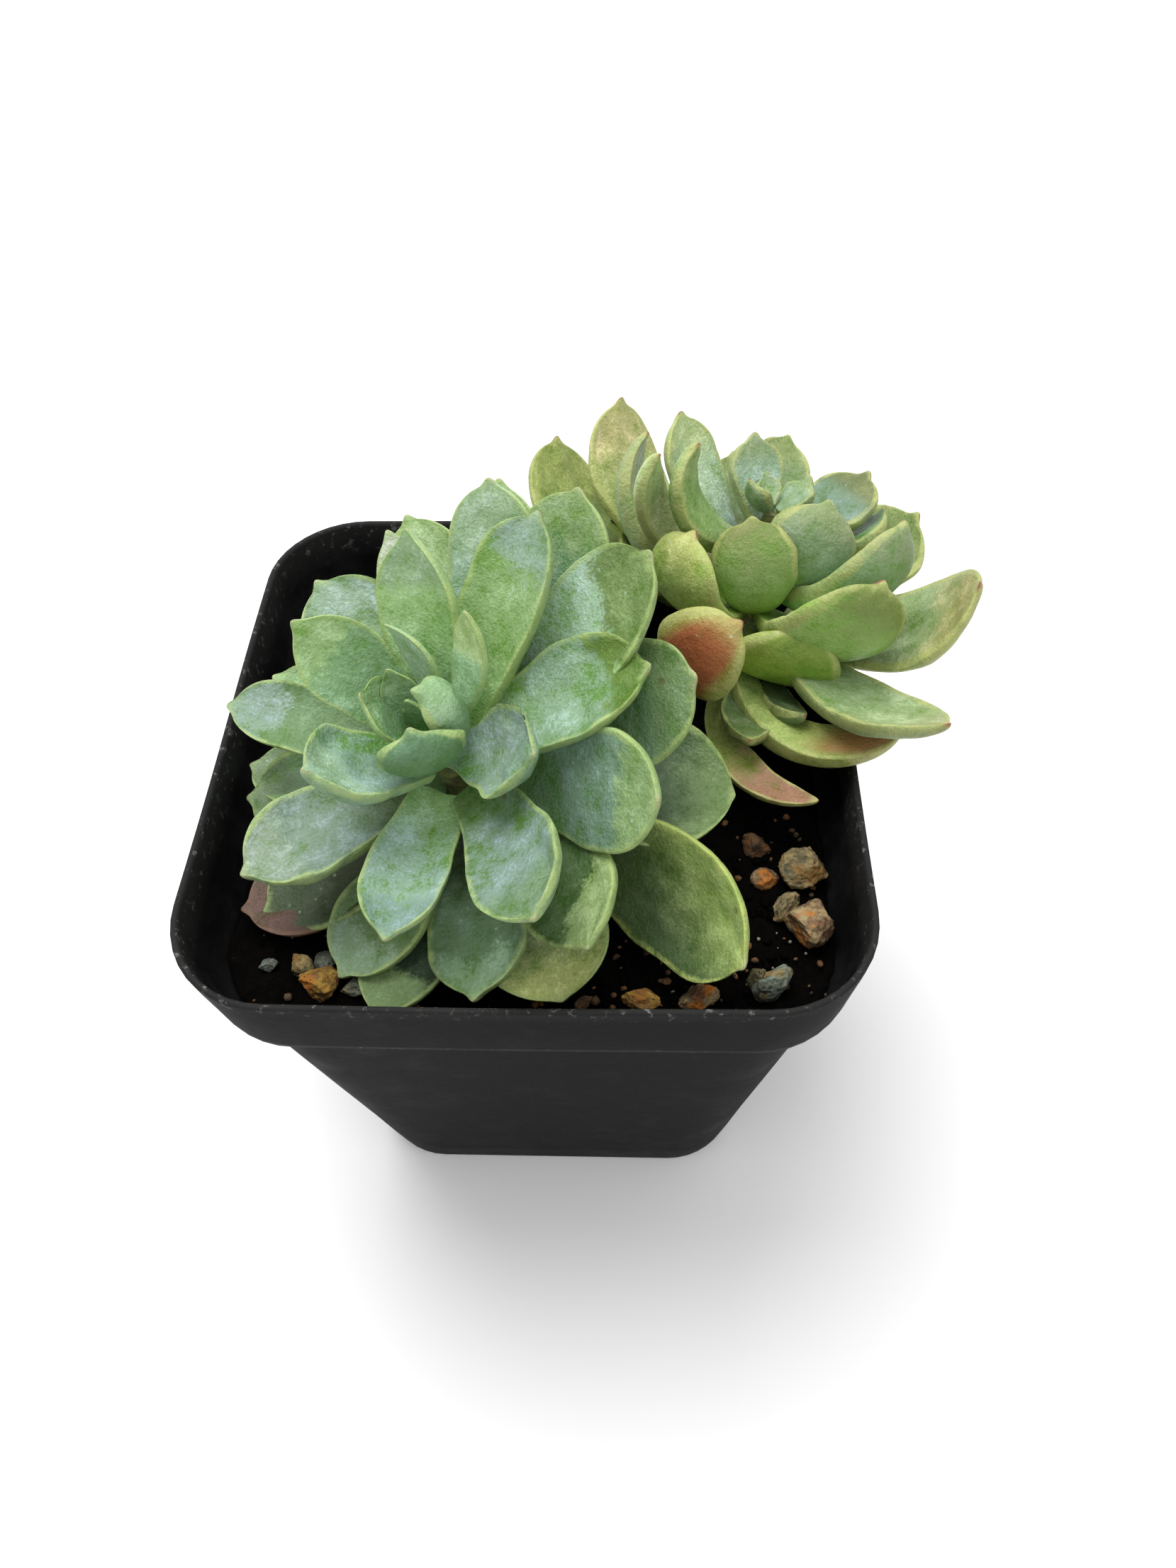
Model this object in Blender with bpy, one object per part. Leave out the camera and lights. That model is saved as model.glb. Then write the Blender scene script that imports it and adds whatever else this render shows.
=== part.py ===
"""A succulent plant of two rosettes growing in a square plastic nursery pot.

Metres, +Z up. The origin is the middle of the pot's underside, -Y is the side with the larger rosette.
"""

import math

import bmesh
import bpy
from mathutils import Matrix, Vector

MM = 0.001

# Pot: a square tub with rounded corners, a tapered body and a deeper straight band under the rim.
POT_HEIGHT = 96.0
RIM_HALF = 50.0
RIM_CORNER = 16.0
BAND_HEIGHT = 15.5
BAND_FOOT_HALF = 48.6
BODY_TOP_HALF = 46.5
FOOT_HALF = 37.0
FOOT_CORNER = 14.0
WALL = 1.1
FLOOR_THICK = 1.6
DRAIN_RADIUS = 4.0
DRAIN_OFFSET = 22.0

# Soil fills the pot to here, with a small gap to the walls.
SOIL_TOP = 81.0
SOIL_GAP = 0.3

# Growing point of each rosette, and the lean of its axis (degrees from upright, compass direction).
FRONT_TOP = (-13.0, -17.0, 112.0)
FRONT_LEAN = (20.0, -140.0)
BACK_TOP = (38.0, 31.0, 114.0)
BACK_LEAN = (18.0, 75.0)
STEM_RADIUS = 2.6

# Leaves are trimmed this far clear of the leaves above them, of the stems, of the soil and of the pot.
CLEARANCE = 0.3
LEAF_SEGMENTS = 10
LEAF_RINGS = 9
SPINE_STEPS = 60

# Where a leaf is widest along its length, how much of its thickness stands above its plane, the length
# of its point, and how far its base sits from the rosette axis for the innermost and the outer leaves.
WIDEST = 0.66
ABOVE = 0.2
POINT = 1.0
INNER_OUT = 0.5
OUTER_OUT = 5.0
OUTER_BELOW = 11.0

# One row per leaf: turn around the rosette axis, rise above its plane, length, width, thickness, upward
# curl along the leaf, distance of its base below the growing point, sideways bend, roll about its own
# length, hollowness across, sharpness of the tip, the width share at its base and, where it isn't the
# usual one, how far its base sits from the rosette axis.
FRONT_LEAVES = (
    (-66, 34, 12.5, 12.5, 2.4, 78, -0.8, -4, -12, 0.15, 0.55, 0.5, 1.5),
    (73, 40, 18, 7.5, 1.4, 50, 2, 1, -28, 0, 0.65, 0.35),
    (33, 38, 22.5, 7, 2, 36, 2.5, 6, 5, 0.1, 0.55, 0.15),
    (-18, 16, 20, 12.5, 2.6, 30, 3.2, -6, 12, 0.35, 0.6, 0.35),
    (-148, 45, 19, 13.5, 3.6, 18, 4, 5, 0, 0.3, 0.55, 0.55),
    (130, 41, 25, 12, 4.2, 22, 5, 9, -4, 0.25, 0.6, 0.45),
    (83, 44, 29.5, 12.5, 4.2, 8, 6, -3, -9, 0.35, 0.75, 0.4),
    (56, 28, 33.5, 14, 4.2, 1, 7, -3, -3, 0.3, 0.5, 0.4),
    (15, 18, 29, 15, 4.2, -7, 8, -9, -1, 0.4, 0.45, 0.5),
    (-51, 22, 34, 14, 4.2, 15, 9, -14, 7, 0.25, 0.6, 0.5),
    (-105, 16, 24.5, 11.5, 4.2, 11, 9, 10, -17, 0.35, 0.6, 0.75),
    (-154, 17, 28, 16, 4.2, 6, 11, 11, 7, 0.35, 0.55, 0.35),
    (155, 16, 32, 11, 4.2, 6, 11.5, 14, 0, 0.4, 0.45, 0.4),
    (32, 21, 38, 17.5, 4.2, 13, 12.5, -1, 1, 0.25, 0.4, 0.4),
    (121, 21, 32.5, 17.5, 4.2, 16, 13, 4, -2, 0.25, 0.5, 0.4),
    (-16, 17, 33.5, 17, 4.2, 25, 13.5, -6, 28, 0.1, 0.6, 0.4),
    (92, 18, 36.5, 17, 4.2, 18, 14, 9, -8, 0.2, 0.55, 0.4),
    (69, 24, 40, 16.5, 4.2, 31, 15, 4, -1, 0.1, 0.5, 0.4),
    (54, 20, 42, 18, 4.2, 32, 16, -2, 4, 0.1, 0.5, 0.4),
    (-86, -11, 27, 16, 4.2, 25, 16.5, -3, 4, 0.15, 0.6, 0.45),
    (17, 15, 36, 18, 4.2, 29, 17.4, -15, 19, 0.1, 0.4, 0.4),
    (-43, 8, 32.5, 15, 4.2, 28, 17, -25, 11, 0.1, 0.7, 0.4),
    (-126, -1, 28, 15, 4.2, 7, 18, -1, -1, 0.3, 0.5, 0.4),
    (176, 1, 32, 16.5, 4.2, 15, 18, 0, -4, 0.3, 0.5, 0.4),
    (-2, -13, 34, 20.5, 4.2, -3, 18, -4, -1, 0.35, 0.6, 0.4),
    (-153, 0, 31.5, 16, 4.2, 10, 18.5, -3, -3, 0.25, 0.5, 0.4),
    (-66, -5, 29.5, 20, 4.2, 5, 20.8, -9, -10, 0.25, 0.55, 0.4),
    (-113, -5, 31, 14.5, 4.2, 19, 19.2, -1, -1, 0.2, 0.65, 0.4),
    (-24, -13, 46, 19, 4.2, 52, 20, -8, 38, 0.2, 0.5, 0.3),
    (-152, 2.5, 35, 17.5, 3, 17, 21, -10, 8, 0.15, 0.5, 0.4),
)
FRONT_HEART = (
    (86, 62, 6, 3, 1.4, 24, -1, -4, 2, 0.15, 0.6, 0.4),
    (156, 66, 12, 10, 1.6, 12, 0, 11, 30, 0.25, 0.5, 0.35),
    (106, 57, 11, 5.5, 1.8, 16, 0, -4, 6, 0.25, 0.6, 0.4),
    (2, 52, 14, 8.5, 2.4, 72, 0.3, 0, 0, 0.25, 0.6, 0.45, 3.0),
)
BACK_LEAVES = (
    (116, 56, 13.5, 10, 3.6, 17, 4, -3, 0, 0.15, 0.6, 0.45),
    (21, 27, 17, 15, 3.6, 14, 6, 7, 2, 0.05, 0.55, 0.4),
    (-155, 14, 24, 11.5, 3.6, 82, 6, -46, -27, 0, 0.55, 0.35),
    (-3, 7, 17, 12, 3.6, 51, 8, 11, -17, 0, 0.55, 0.4),
    (83, 23, 23.5, 11, 3.6, 15, 8, -6, 20, 0.25, 0.55, 0.4),
    (148, 38, 24, 13, 3.6, 35, 9, -6, -6, 0.15, 0.5, 0.3),
    (-66, 42, 16.5, 14.5, 3.6, 80, 11, 0, -27, 0.1, 0.6, 0.4),
    (-55, 5, 26.5, 12.5, 3.6, 96, 12, -2, -25, 0, 0.6, 0.4),
    (9, 14, 23, 19.5, 3.6, 32, 13, 12, 16, 0, 0.6, 0.4),
    (-101, 26, 18.5, 13.5, 3.6, 105, 14, -3, 12, 0, 0.4, 0.55),
    (180, 29, 31, 8.5, 3.6, 77, 14, -5, -35, 0.05, 0.6, 0.4),
    (-133, -2, 24, 16.5, 3.6, 113, 15, -17, 0, 0, 0.4, 0.4),
    (143, 5, 40.5, 19, 3.6, 79, 15, -8, 6, 0, 0.55, 0.4),
    (-74, -6, 30, 19.5, 3.6, 97, 16, 3, -21, 0.05, 0.45, 0.4),
    (-29, -1, 37, 19, 3.6, 71, 18, 8, 24, 0, 0.55, 0.45),
    (-89, -18, 23.5, 19, 3.6, 102, 19, -3, -17, 0, 0.5, 0.3),
    (158, -6, 46.5, 23.5, 3.6, 75, 17, -19, 17, 0, 0.55, 0.4),
    (155, -20, 26, 16.5, 3.6, 94, 17, -5, 34, 0, 0.4, 0.4),
    (-133, -13, 35, 15, 3.6, 127, 21, -5, -39, 0.1, 0.4, 0.45),
    (-68, -15, 43.5, 15, 3.6, 46, 17, 10, -4, 0.15, 0.6, 0.3),
    (-107, -23, 43.5, 7, 5, 56, 19, 120, -17, 0.1, 0.4, 0.25),
    (-119, -19, 39.5, 6, 3.4, 10, 25, 100, -4, 0.2, 0.6, 0.3),
)
BACK_HEART = (
    (-154, 38, 5.5, 5.5, 2.2, 12, 0, 1, 9, 0.2, 0.6, 0.4),
    (15, 31, 6.5, 9, 2.4, 29, 1, 6, -5, 0.1, 0.6, 0.4),
)

# Name, centre, the three half sizes and the turn of each large stone.
STONES = (
    ("stone_tan", (42.0, -19.5, 84.4), (3.6, 3.0, 2.6), 25.0),
    ("stone_rust", (41.8, -29.0, 84.6), (3.4, 3.4, 3.0), -20.0),
)


def clear_scene():
    for thing in list(bpy.data.objects):
        bpy.data.objects.remove(thing, do_unlink=True)


def material(name, colour, rough, metal=0.0):
    mat = bpy.data.materials.new(name)
    mat.use_nodes = True
    shader = mat.node_tree.nodes["Principled BSDF"]
    shader.inputs["Base Color"].default_value = (*colour, 1.0)
    shader.inputs["Roughness"].default_value = rough
    shader.inputs["Metallic"].default_value = metal
    return mat


def add_object(name, bm, mat, smooth=True):
    bmesh.ops.recalc_face_normals(bm, faces=bm.faces)
    mesh = bpy.data.meshes.new(name)
    bm.to_mesh(mesh)
    bm.free()
    obj = bpy.data.objects.new(name, mesh)
    bpy.context.scene.collection.objects.link(obj)
    mesh.materials.append(mat)
    for poly in mesh.polygons:
        poly.use_smooth = smooth
    return obj


def smooth_step(x):
    x = min(max(x, 0.0), 1.0)
    return x * x * (3.0 - 2.0 * x)


def rounded_square(half, corner, z, steps=6):
    """Points of a square with rounded corners at height z, going round anticlockwise."""
    points = []
    for quarter, (sx, sy) in enumerate(((1, 1), (-1, 1), (-1, -1), (1, -1))):
        for i in range(steps + 1):
            a = math.pi / 2 * (quarter + i / steps)
            x = sx * (half - corner) + corner * math.cos(a)
            y = sy * (half - corner) + corner * math.sin(a)
            points.append(Vector((x, y, z)) * MM)
    return points


def loft(rings):
    """A closed body through a stack of rings, with the first and last ring capped."""
    bm = bmesh.new()
    loops = [[bm.verts.new(p) for p in ring] for ring in rings]
    for low, high in zip(loops, loops[1:]):
        count = len(low)
        for i in range(count):
            j = (i + 1) % count
            bm.faces.new((low[i], low[j], high[j], high[i]))
    bm.faces.new(list(reversed(loops[0])))
    bm.faces.new(loops[-1])
    return bm


def inner_half(z):
    """Half width of the pot's inner wall at height z."""
    step = POT_HEIGHT - BAND_HEIGHT
    if z <= step:
        return FOOT_HALF + (BODY_TOP_HALF - FOOT_HALF) * z / step - WALL
    return BODY_TOP_HALF + (RIM_HALF - BODY_TOP_HALF) * (z - step) / BAND_HEIGHT - WALL


def boolean(obj, cutter, operation):
    mod = obj.modifiers.new("cut", "BOOLEAN")
    mod.operation = operation
    mod.solver = "EXACT"
    mod.object = cutter
    graph = bpy.context.evaluated_depsgraph_get()
    mesh = bpy.data.meshes.new_from_object(obj.evaluated_get(graph))
    obj.modifiers.remove(mod)
    old = obj.data
    obj.data = mesh
    bpy.data.meshes.remove(old)


def build_pot(mat):
    step = POT_HEIGHT - BAND_HEIGHT
    profile = (
        (FOOT_HALF, FOOT_CORNER, 0.0),
        (BODY_TOP_HALF, RIM_CORNER - 1.5, step),
        (BAND_FOOT_HALF, RIM_CORNER - 0.5, step),
        (RIM_HALF, RIM_CORNER, POT_HEIGHT),
        (RIM_HALF - WALL, RIM_CORNER - WALL, POT_HEIGHT),
        (inner_half(step), RIM_CORNER - 2.0, step),
        (inner_half(FLOOR_THICK), FOOT_CORNER - WALL, FLOOR_THICK),
    )
    pot = add_object("pot", loft([rounded_square(*p) for p in profile]), mat)
    for sx in (-1, 1):
        for sy in (-1, 1):
            bm = bmesh.new()
            centre = Vector((sx * DRAIN_OFFSET, sy * DRAIN_OFFSET, 0)) * MM
            bmesh.ops.create_cone(
                bm, cap_ends=True, segments=16, radius1=DRAIN_RADIUS * MM, radius2=DRAIN_RADIUS * MM,
                depth=8 * MM, matrix=Matrix.Translation(centre))
            drill = add_object("drill", bm, mat)
            boolean(pot, drill, "DIFFERENCE")
            bpy.data.objects.remove(drill, do_unlink=True)
    for poly in pot.data.polygons:
        poly.use_smooth = True
    return pot


def build_soil(mat):
    low = FLOOR_THICK + SOIL_GAP
    step = POT_HEIGHT - BAND_HEIGHT
    rings = [
        rounded_square(inner_half(low) - SOIL_GAP, FOOT_CORNER - WALL - SOIL_GAP, low),
        rounded_square(inner_half(step) - SOIL_GAP, RIM_CORNER - 2.0 - SOIL_GAP, step),
        rounded_square(inner_half(step) - SOIL_GAP - 1.5, RIM_CORNER - 3.0, SOIL_TOP - 0.2),
    ]
    for half, lump in ((36.0, 0.5), (26.0, 0.7), (14.0, 0.6)):
        ring = rounded_square(half, half * 0.4, SOIL_TOP)
        for p in ring:
            wave = math.sin(p.x * 310.0 + 1.0) * math.cos(p.y * 270.0)
            p.z += lump * MM * wave
        rings.append(ring)
    return add_object("soil", loft(rings), mat)


def rosette(top, lean):
    """Frame whose origin is the growing point and whose Z runs up the leaning axis."""
    tilt, toward = (math.radians(v) for v in lean)
    hinge = Vector((-math.sin(toward), math.cos(toward), 0.0))
    return Matrix.Translation(Vector(top) * MM) @ Matrix.Rotation(tilt, 4, hinge)


def build_stem(name, frame, root, mat):
    """A tapered stem from just under the growing point, down the axis, then into the soil."""
    top = frame @ Vector((0, 0, -1.5 * MM))
    fork = frame @ Vector((0, 0, -22.0 * MM))
    foot = Vector(root) * MM
    path = []
    for i in range(9):
        t = i / 8
        path.append(top * (1 - t) ** 2 + fork * 2 * t * (1 - t) + foot * t * t)
    rings = []
    for i, centre in enumerate(path):
        ahead = path[min(i + 1, 8)] - path[max(i - 1, 0)]
        side = ahead.cross(Vector((1, 0, 0))).normalized()
        other = ahead.cross(side).normalized()
        radius = (1.2 + (STEM_RADIUS - 1.2) * min(i / 2, 1.0) + 0.9 * i / 8) * MM
        ring = []
        for k in range(10):
            a = 2 * math.pi * k / 10
            ring.append(centre + side * radius * math.cos(a) + other * radius * math.sin(a))
        rings.append(ring)
    return add_object(name, loft(rings), mat)


def leaf_base(s):
    """Rounds off the first twentieth of a leaf."""
    return math.sqrt(1 - (1 - min(s / 0.05, 1.0)) ** 2)


def leaf_width(s, taper, waist):
    """Half-width share along the leaf: narrow base, widest past the middle, then in to the tip."""
    wide = waist + (1 - waist) * smooth_step(s / WIDEST)
    end = min(max((s - WIDEST) / (1 - WIDEST), 0.0), 1.0)
    return wide * (1 - end ** 2.2) ** taper * leaf_base(s)


def leaf_thickness(s):
    body = 0.72 + 0.28 * smooth_step(s / 0.35)
    return body * math.sqrt(max(1 - s ** 3.2, 0.0)) * leaf_base(s)


def rounder(x):
    """Sine or cosine pushed outward, so that a leaf's edge is plump and not a knife edge."""
    return math.copysign(abs(x) ** 0.85, x)


def leaf_spine(length, curl, bend):
    """Centre, forward and sideways directions at SPINE_STEPS + 1 places along a leaf."""
    spine = [(Vector((0, 0, 0)), Vector((1, 0, 0)), Vector((0, 1, 0)))]
    for i in range(1, SPINE_STEPS + 1):
        s = i / SPINE_STEPS
        up = math.radians(curl) * s ** 1.4
        swing = math.radians(bend) * s ** 1.3
        ahead = Vector((math.cos(up) * math.cos(swing), math.cos(up) * math.sin(swing), math.sin(up)))
        side = Vector((-math.sin(swing), math.cos(swing), 0))
        spine.append((spine[-1][0] + ahead * (length / SPINE_STEPS), ahead, side))
    return spine


def leaf_bmesh(frame, row):
    """A plump leaf: nearly flat above, rounded below, ending in a short point."""
    turn, rise, length, width, thick, curl, below, bend, lean, cup, taper, waist, *given = row
    usual = INNER_OUT + (OUTER_OUT - INNER_OUT) * min(max(below, 0.0) / OUTER_BELOW, 1.0)
    out = given[0] if given else usual
    spine = leaf_spine(length, curl, bend)
    bm = bmesh.new()
    bmesh.ops.create_uvsphere(bm, u_segments=LEAF_SEGMENTS, v_segments=LEAF_RINGS, radius=1.0)
    for v in bm.verts:
        s = (v.co.z + 1) / 2
        a = math.atan2(v.co.y, v.co.x)
        centre, ahead, side = spine[round(s * SPINE_STEPS)]
        normal = ahead.cross(side)
        half = width / 2 * leaf_width(s, taper, waist)
        deep = thick * leaf_thickness(s)
        if s > 0.9999:
            v.co = centre + ahead * POINT + normal * 0.15 * POINT
        elif s < 0.0001:
            v.co = centre
        else:
            drop = rounder(math.sin(a)) * deep * (ABOVE if math.sin(a) > 0 else 1.0)
            lift = cup * half * math.cos(a) ** 2 + drop
            v.co = centre + side * half * rounder(math.cos(a)) + normal * lift
    place = (frame @ Matrix.Scale(MM, 4) @ Matrix.Rotation(math.radians(turn), 4, "Z")
             @ Matrix.Translation((out, 0, -below)) @ Matrix.Rotation(math.radians(-rise), 4, "Y")
             @ Matrix.Rotation(math.radians(lean), 4, "X"))
    bm.transform(place)
    bmesh.ops.recalc_face_normals(bm, faces=bm.faces)
    return bm


def swell(bm, amount):
    bm.normal_update()
    moves = [(v, v.co + v.normal * amount) for v in bm.verts]
    for v, co in moves:
        v.co = co


def keep_largest(obj):
    """Drop loose crumbs a cut may leave behind and keep the body with the most volume."""
    bm = bmesh.new()
    bm.from_mesh(obj.data)
    bmesh.ops.remove_doubles(bm, verts=bm.verts, dist=0.00002)
    bmesh.ops.dissolve_degenerate(bm, dist=0.00002, edges=bm.edges)
    bmesh.ops.triangulate(bm, faces=bm.faces)
    seen = set()
    parts = []
    for start in bm.verts:
        if start in seen:
            continue
        seen.add(start)
        group = [start]
        for v in group:
            for e in v.link_edges:
                w = e.other_vert(v)
                if w not in seen:
                    seen.add(w)
                    group.append(w)
        parts.append(group)
    parts.sort(key=lambda g: -body_volume(g))
    loose = [v for g in parts[1:] for v in g]
    bmesh.ops.delete(bm, geom=loose, context="VERTS")
    bmesh.ops.recalc_face_normals(bm, faces=bm.faces)
    bm.to_mesh(obj.data)
    bm.free()
    for poly in obj.data.polygons:
        poly.use_smooth = True


def body_volume(group):
    total = 0.0
    for f in {f for v in group for f in v.link_faces}:
        a, b, c = (v.co for v in f.verts)
        total += a.dot(b.cross(c)) / 6
    return abs(total)


def bounds(obj):
    cos = [v.co for v in obj.data.vertices]
    low = Vector([min(c[i] for c in cos) for i in range(3)])
    high = Vector([max(c[i] for c in cos) for i in range(3)])
    return low, high


def near(a, b, gap=0.0006):
    return all(a[0][i] - gap < b[1][i] and b[0][i] - gap < a[1][i] for i in range(3))


def closed(mesh):
    bm = bmesh.new()
    bm.from_mesh(mesh)
    good = len(bm.faces) > 8 and all(len(e.link_faces) == 2 for e in bm.edges)
    good = good and all(f.calc_area() > 1e-13 for f in bm.faces)
    bm.free()
    return good


def trim(obj, blockers):
    """Cut obj clear of every blocker it comes near: all swollen blockers in one exact difference.

    A cut that leaves an open seam is done again with a slightly larger clearance.
    """
    box = bounds(obj)
    close = [other for other in blockers if near(box, bounds(other))]
    whole = obj.data
    for extra in range(8):
        bm = bmesh.new()
        for other in close:
            part = bmesh.new()
            part.from_mesh(other.data)
            swell(part, (CLEARANCE + 0.02 * extra) * MM)
            mesh = bpy.data.meshes.new("swollen")
            part.to_mesh(mesh)
            part.free()
            bm.from_mesh(mesh)
            bpy.data.meshes.remove(mesh)
        if not bm.faces:
            bm.free()
            return
        mesh = bpy.data.meshes.new("cutter")
        bm.to_mesh(mesh)
        bm.free()
        cutter = bpy.data.objects.new("cutter", mesh)
        bpy.context.scene.collection.objects.link(cutter)
        obj.data = whole.copy()
        mod = obj.modifiers.new("cut", "BOOLEAN")
        mod.operation = "DIFFERENCE"
        mod.solver = "EXACT"
        mod.use_self = True
        mod.object = cutter
        graph = bpy.context.evaluated_depsgraph_get()
        cut = bpy.data.meshes.new_from_object(obj.evaluated_get(graph))
        obj.modifiers.remove(mod)
        old = obj.data
        obj.data = cut
        bpy.data.meshes.remove(old)
        bpy.data.objects.remove(cutter, do_unlink=True)
        keep_largest(obj)
        if closed(obj.data):
            break
    bpy.data.meshes.remove(whole)


def build_heart(name, frame, rows, mat):
    """The smallest leaves round the growing point, grown together into one body."""
    heart = add_object(name, leaf_bmesh(frame, rows[0]), mat)
    for row in rows[1:]:
        extra = add_object("extra", leaf_bmesh(frame, row), mat)
        boolean(heart, extra, "UNION")
        bpy.data.objects.remove(extra, do_unlink=True)
    bud = bmesh.new()
    bmesh.ops.create_icosphere(bud, subdivisions=2, radius=2.2 * MM)
    bud.transform(frame)
    core = add_object("core", bud, mat)
    boolean(heart, core, "UNION")
    bpy.data.objects.remove(core, do_unlink=True)
    keep_largest(heart)
    return heart


def build_stone(name, centre, sizes, turn, mat):
    bm = bmesh.new()
    bmesh.ops.create_icosphere(bm, subdivisions=2, radius=1.0)
    for v in bm.verts:
        rough = math.sin(v.co.x * 5.1 + centre[0]) * math.cos(v.co.y * 4.3 + centre[1])
        v.co *= 1.0 + 0.16 * rough * math.sin(v.co.z * 4.7)
        v.co = Vector((v.co.x * sizes[0], v.co.y * sizes[1], v.co.z * sizes[2]))
    bm.transform(Matrix.Translation(Vector(centre) * MM) @ Matrix.Rotation(math.radians(turn), 4, "Z")
                 @ Matrix.Scale(MM, 4))
    return add_object(name, bm, mat, smooth=False)


clear_scene()

black_plastic = material("black_plastic", (0.016, 0.016, 0.018), 0.45)
potting_soil = material("potting_soil", (0.018, 0.013, 0.010), 0.95)
woody_stem = material("woody_stem", (0.22, 0.17, 0.09), 0.8)

pot = build_pot(black_plastic)
soil = build_soil(potting_soil)

front = rosette(FRONT_TOP, FRONT_LEAN)
back = rosette(BACK_TOP, BACK_LEAN)
front_stem = build_stem("front_stem", front, (-3.0, -6.0, 70.0), woody_stem)
back_stem = build_stem("back_stem", back, (31.0, 16.0, 70.0), woody_stem)
for stem in (front_stem, back_stem):
    trim(soil, [stem])

blockers = [soil, pot, front_stem, back_stem]
for side, frame, heart_rows, rows, colour in (
        ("front", front, FRONT_HEART, FRONT_LEAVES, (0.27, 0.42, 0.27)),
        ("back", back, BACK_HEART, BACK_LEAVES, (0.33, 0.45, 0.20))):
    name = f"{side}_heart"
    heart = build_heart(name, frame, heart_rows, material(name, colour, 0.55))
    trim(heart, blockers)
    blockers.append(heart)
    for k, row in enumerate(rows, 1):
        name = f"{side}_leaf_{k:02d}"
        age = k / len(rows)
        tint = (colour[0] + 0.10 * age, colour[1] + 0.04 * age, colour[2] - 0.08 * age)
        leaf = add_object(name, leaf_bmesh(frame, row), material(name, tint, 0.55))
        trim(leaf, blockers)
        blockers.append(leaf)

for k, (name, centre, sizes, turn) in enumerate(STONES):
    stone_colour = ((0.42, 0.36, 0.24), (0.45, 0.19, 0.07))[k]
    stone = build_stone(name, centre, sizes, turn, material(name, stone_colour, 0.9))
    trim(stone, blockers)
    blockers.append(stone)
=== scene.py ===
import math
import random

import bmesh
import bpy
from mathutils import Matrix, Vector, noise


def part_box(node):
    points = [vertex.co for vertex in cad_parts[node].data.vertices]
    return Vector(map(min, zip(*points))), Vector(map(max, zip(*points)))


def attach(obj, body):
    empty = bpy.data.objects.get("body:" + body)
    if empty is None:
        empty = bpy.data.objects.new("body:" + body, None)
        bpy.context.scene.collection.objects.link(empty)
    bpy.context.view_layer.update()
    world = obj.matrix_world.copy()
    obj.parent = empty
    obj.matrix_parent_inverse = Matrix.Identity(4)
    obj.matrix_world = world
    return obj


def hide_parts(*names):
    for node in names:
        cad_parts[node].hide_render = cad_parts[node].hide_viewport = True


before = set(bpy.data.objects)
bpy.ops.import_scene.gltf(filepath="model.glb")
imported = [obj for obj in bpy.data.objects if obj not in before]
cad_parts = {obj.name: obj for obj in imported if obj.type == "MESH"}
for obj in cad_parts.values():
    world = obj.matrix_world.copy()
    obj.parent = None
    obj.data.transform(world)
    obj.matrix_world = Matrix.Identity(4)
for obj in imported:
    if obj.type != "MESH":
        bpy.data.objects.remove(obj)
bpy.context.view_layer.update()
MM = 0.001

# --- Where it is seen -------------------------------------------------------------------------
# The pot stands on a white table in a bright room, seen from above and in front by a wide lens
# held close, in soft light from overhead.

FOCAL_LENGTH = 25.03
EYE = (0.01531, -0.11234, 0.22777)
TURN = 3.74
LOOK_DOWN = 52.70
TILT = -2.76

camera_data = bpy.data.cameras.new("viewpoint")
camera_data.lens = FOCAL_LENGTH
camera_data.clip_start = 0.01
camera = bpy.data.objects.new("viewpoint", camera_data)
turn = Matrix.Rotation(math.radians(TURN), 4, "Z")
tip_down = Matrix.Rotation(math.radians(90 - LOOK_DOWN), 4, "X")
roll = Matrix.Rotation(math.radians(TILT), 4, "Z")
camera.matrix_world = Matrix.Translation(EYE) @ turn @ tip_down @ roll
bpy.context.scene.collection.objects.link(camera)
bpy.context.scene.camera = camera
bpy.context.scene.view_settings.view_transform = "Standard"

table_bm = bmesh.new()
bmesh.ops.create_grid(table_bm, x_segments=1, y_segments=1, size=3.0)
table_mesh = bpy.data.meshes.new("table_top")
table_bm.to_mesh(table_mesh)
table_bm.free()
table_top = bpy.data.objects.new("table_top", table_mesh)
table_top.location.z = -0.0004
bpy.context.scene.collection.objects.link(table_top)
table_paint = bpy.data.materials.new("table_paint")
table_paint.use_nodes = True
table_shader = table_paint.node_tree.nodes["Principled BSDF"]
table_shader.inputs["Base Color"].default_value = (0.90, 0.90, 0.90, 1)
table_shader.inputs["Roughness"].default_value = 0.8
table_mesh.materials.append(table_paint)

room = bpy.data.worlds.new("room")
bpy.context.scene.world = room
room.use_nodes = True
room.node_tree.nodes["Background"].inputs["Color"].default_value = (1.0, 1.0, 1.0, 1)
room.node_tree.nodes["Background"].inputs["Strength"].default_value = 0.74

LAMP_AIM = (0, 0, 0.1)


def soft_lamp(name, place, size, watts):
    """A round soft light at place, aimed at the plant."""
    data = bpy.data.lights.new(name, "AREA")
    data.shape = "DISK"
    data.size = size
    data.energy = watts
    lamp = bpy.data.objects.new(name, data)
    way = Vector(LAMP_AIM) - Vector(place)
    lamp.matrix_world = Matrix.Translation(place) @ way.to_track_quat("-Z", "Y").to_matrix().to_4x4()
    bpy.context.scene.collection.objects.link(lamp)


soft_lamp("ceiling_light", (-0.12, 0.22, 0.8), 0.6, 6.2)
soft_lamp("room_fill", (0.35, -0.35, 0.8), 0.8, 1.3)


# --- Pot --------------------------------------------------------------------------------------
# A thin black polypropylene nursery pot, injection moulded in one piece: a square tub with rounded
# corners, a straighter band under the rim, drain holes in its floor, and pale scuffs and a painted highlight
# along its edges.

BAND_FROM = 80.5
RIM_FROM = 95.0
SOFT_FROM = 60.0
SOFT_TALL = 36.0
DRAIN_RADIUS = 4.0
DRAIN_OFFSET = 22.0


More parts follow.
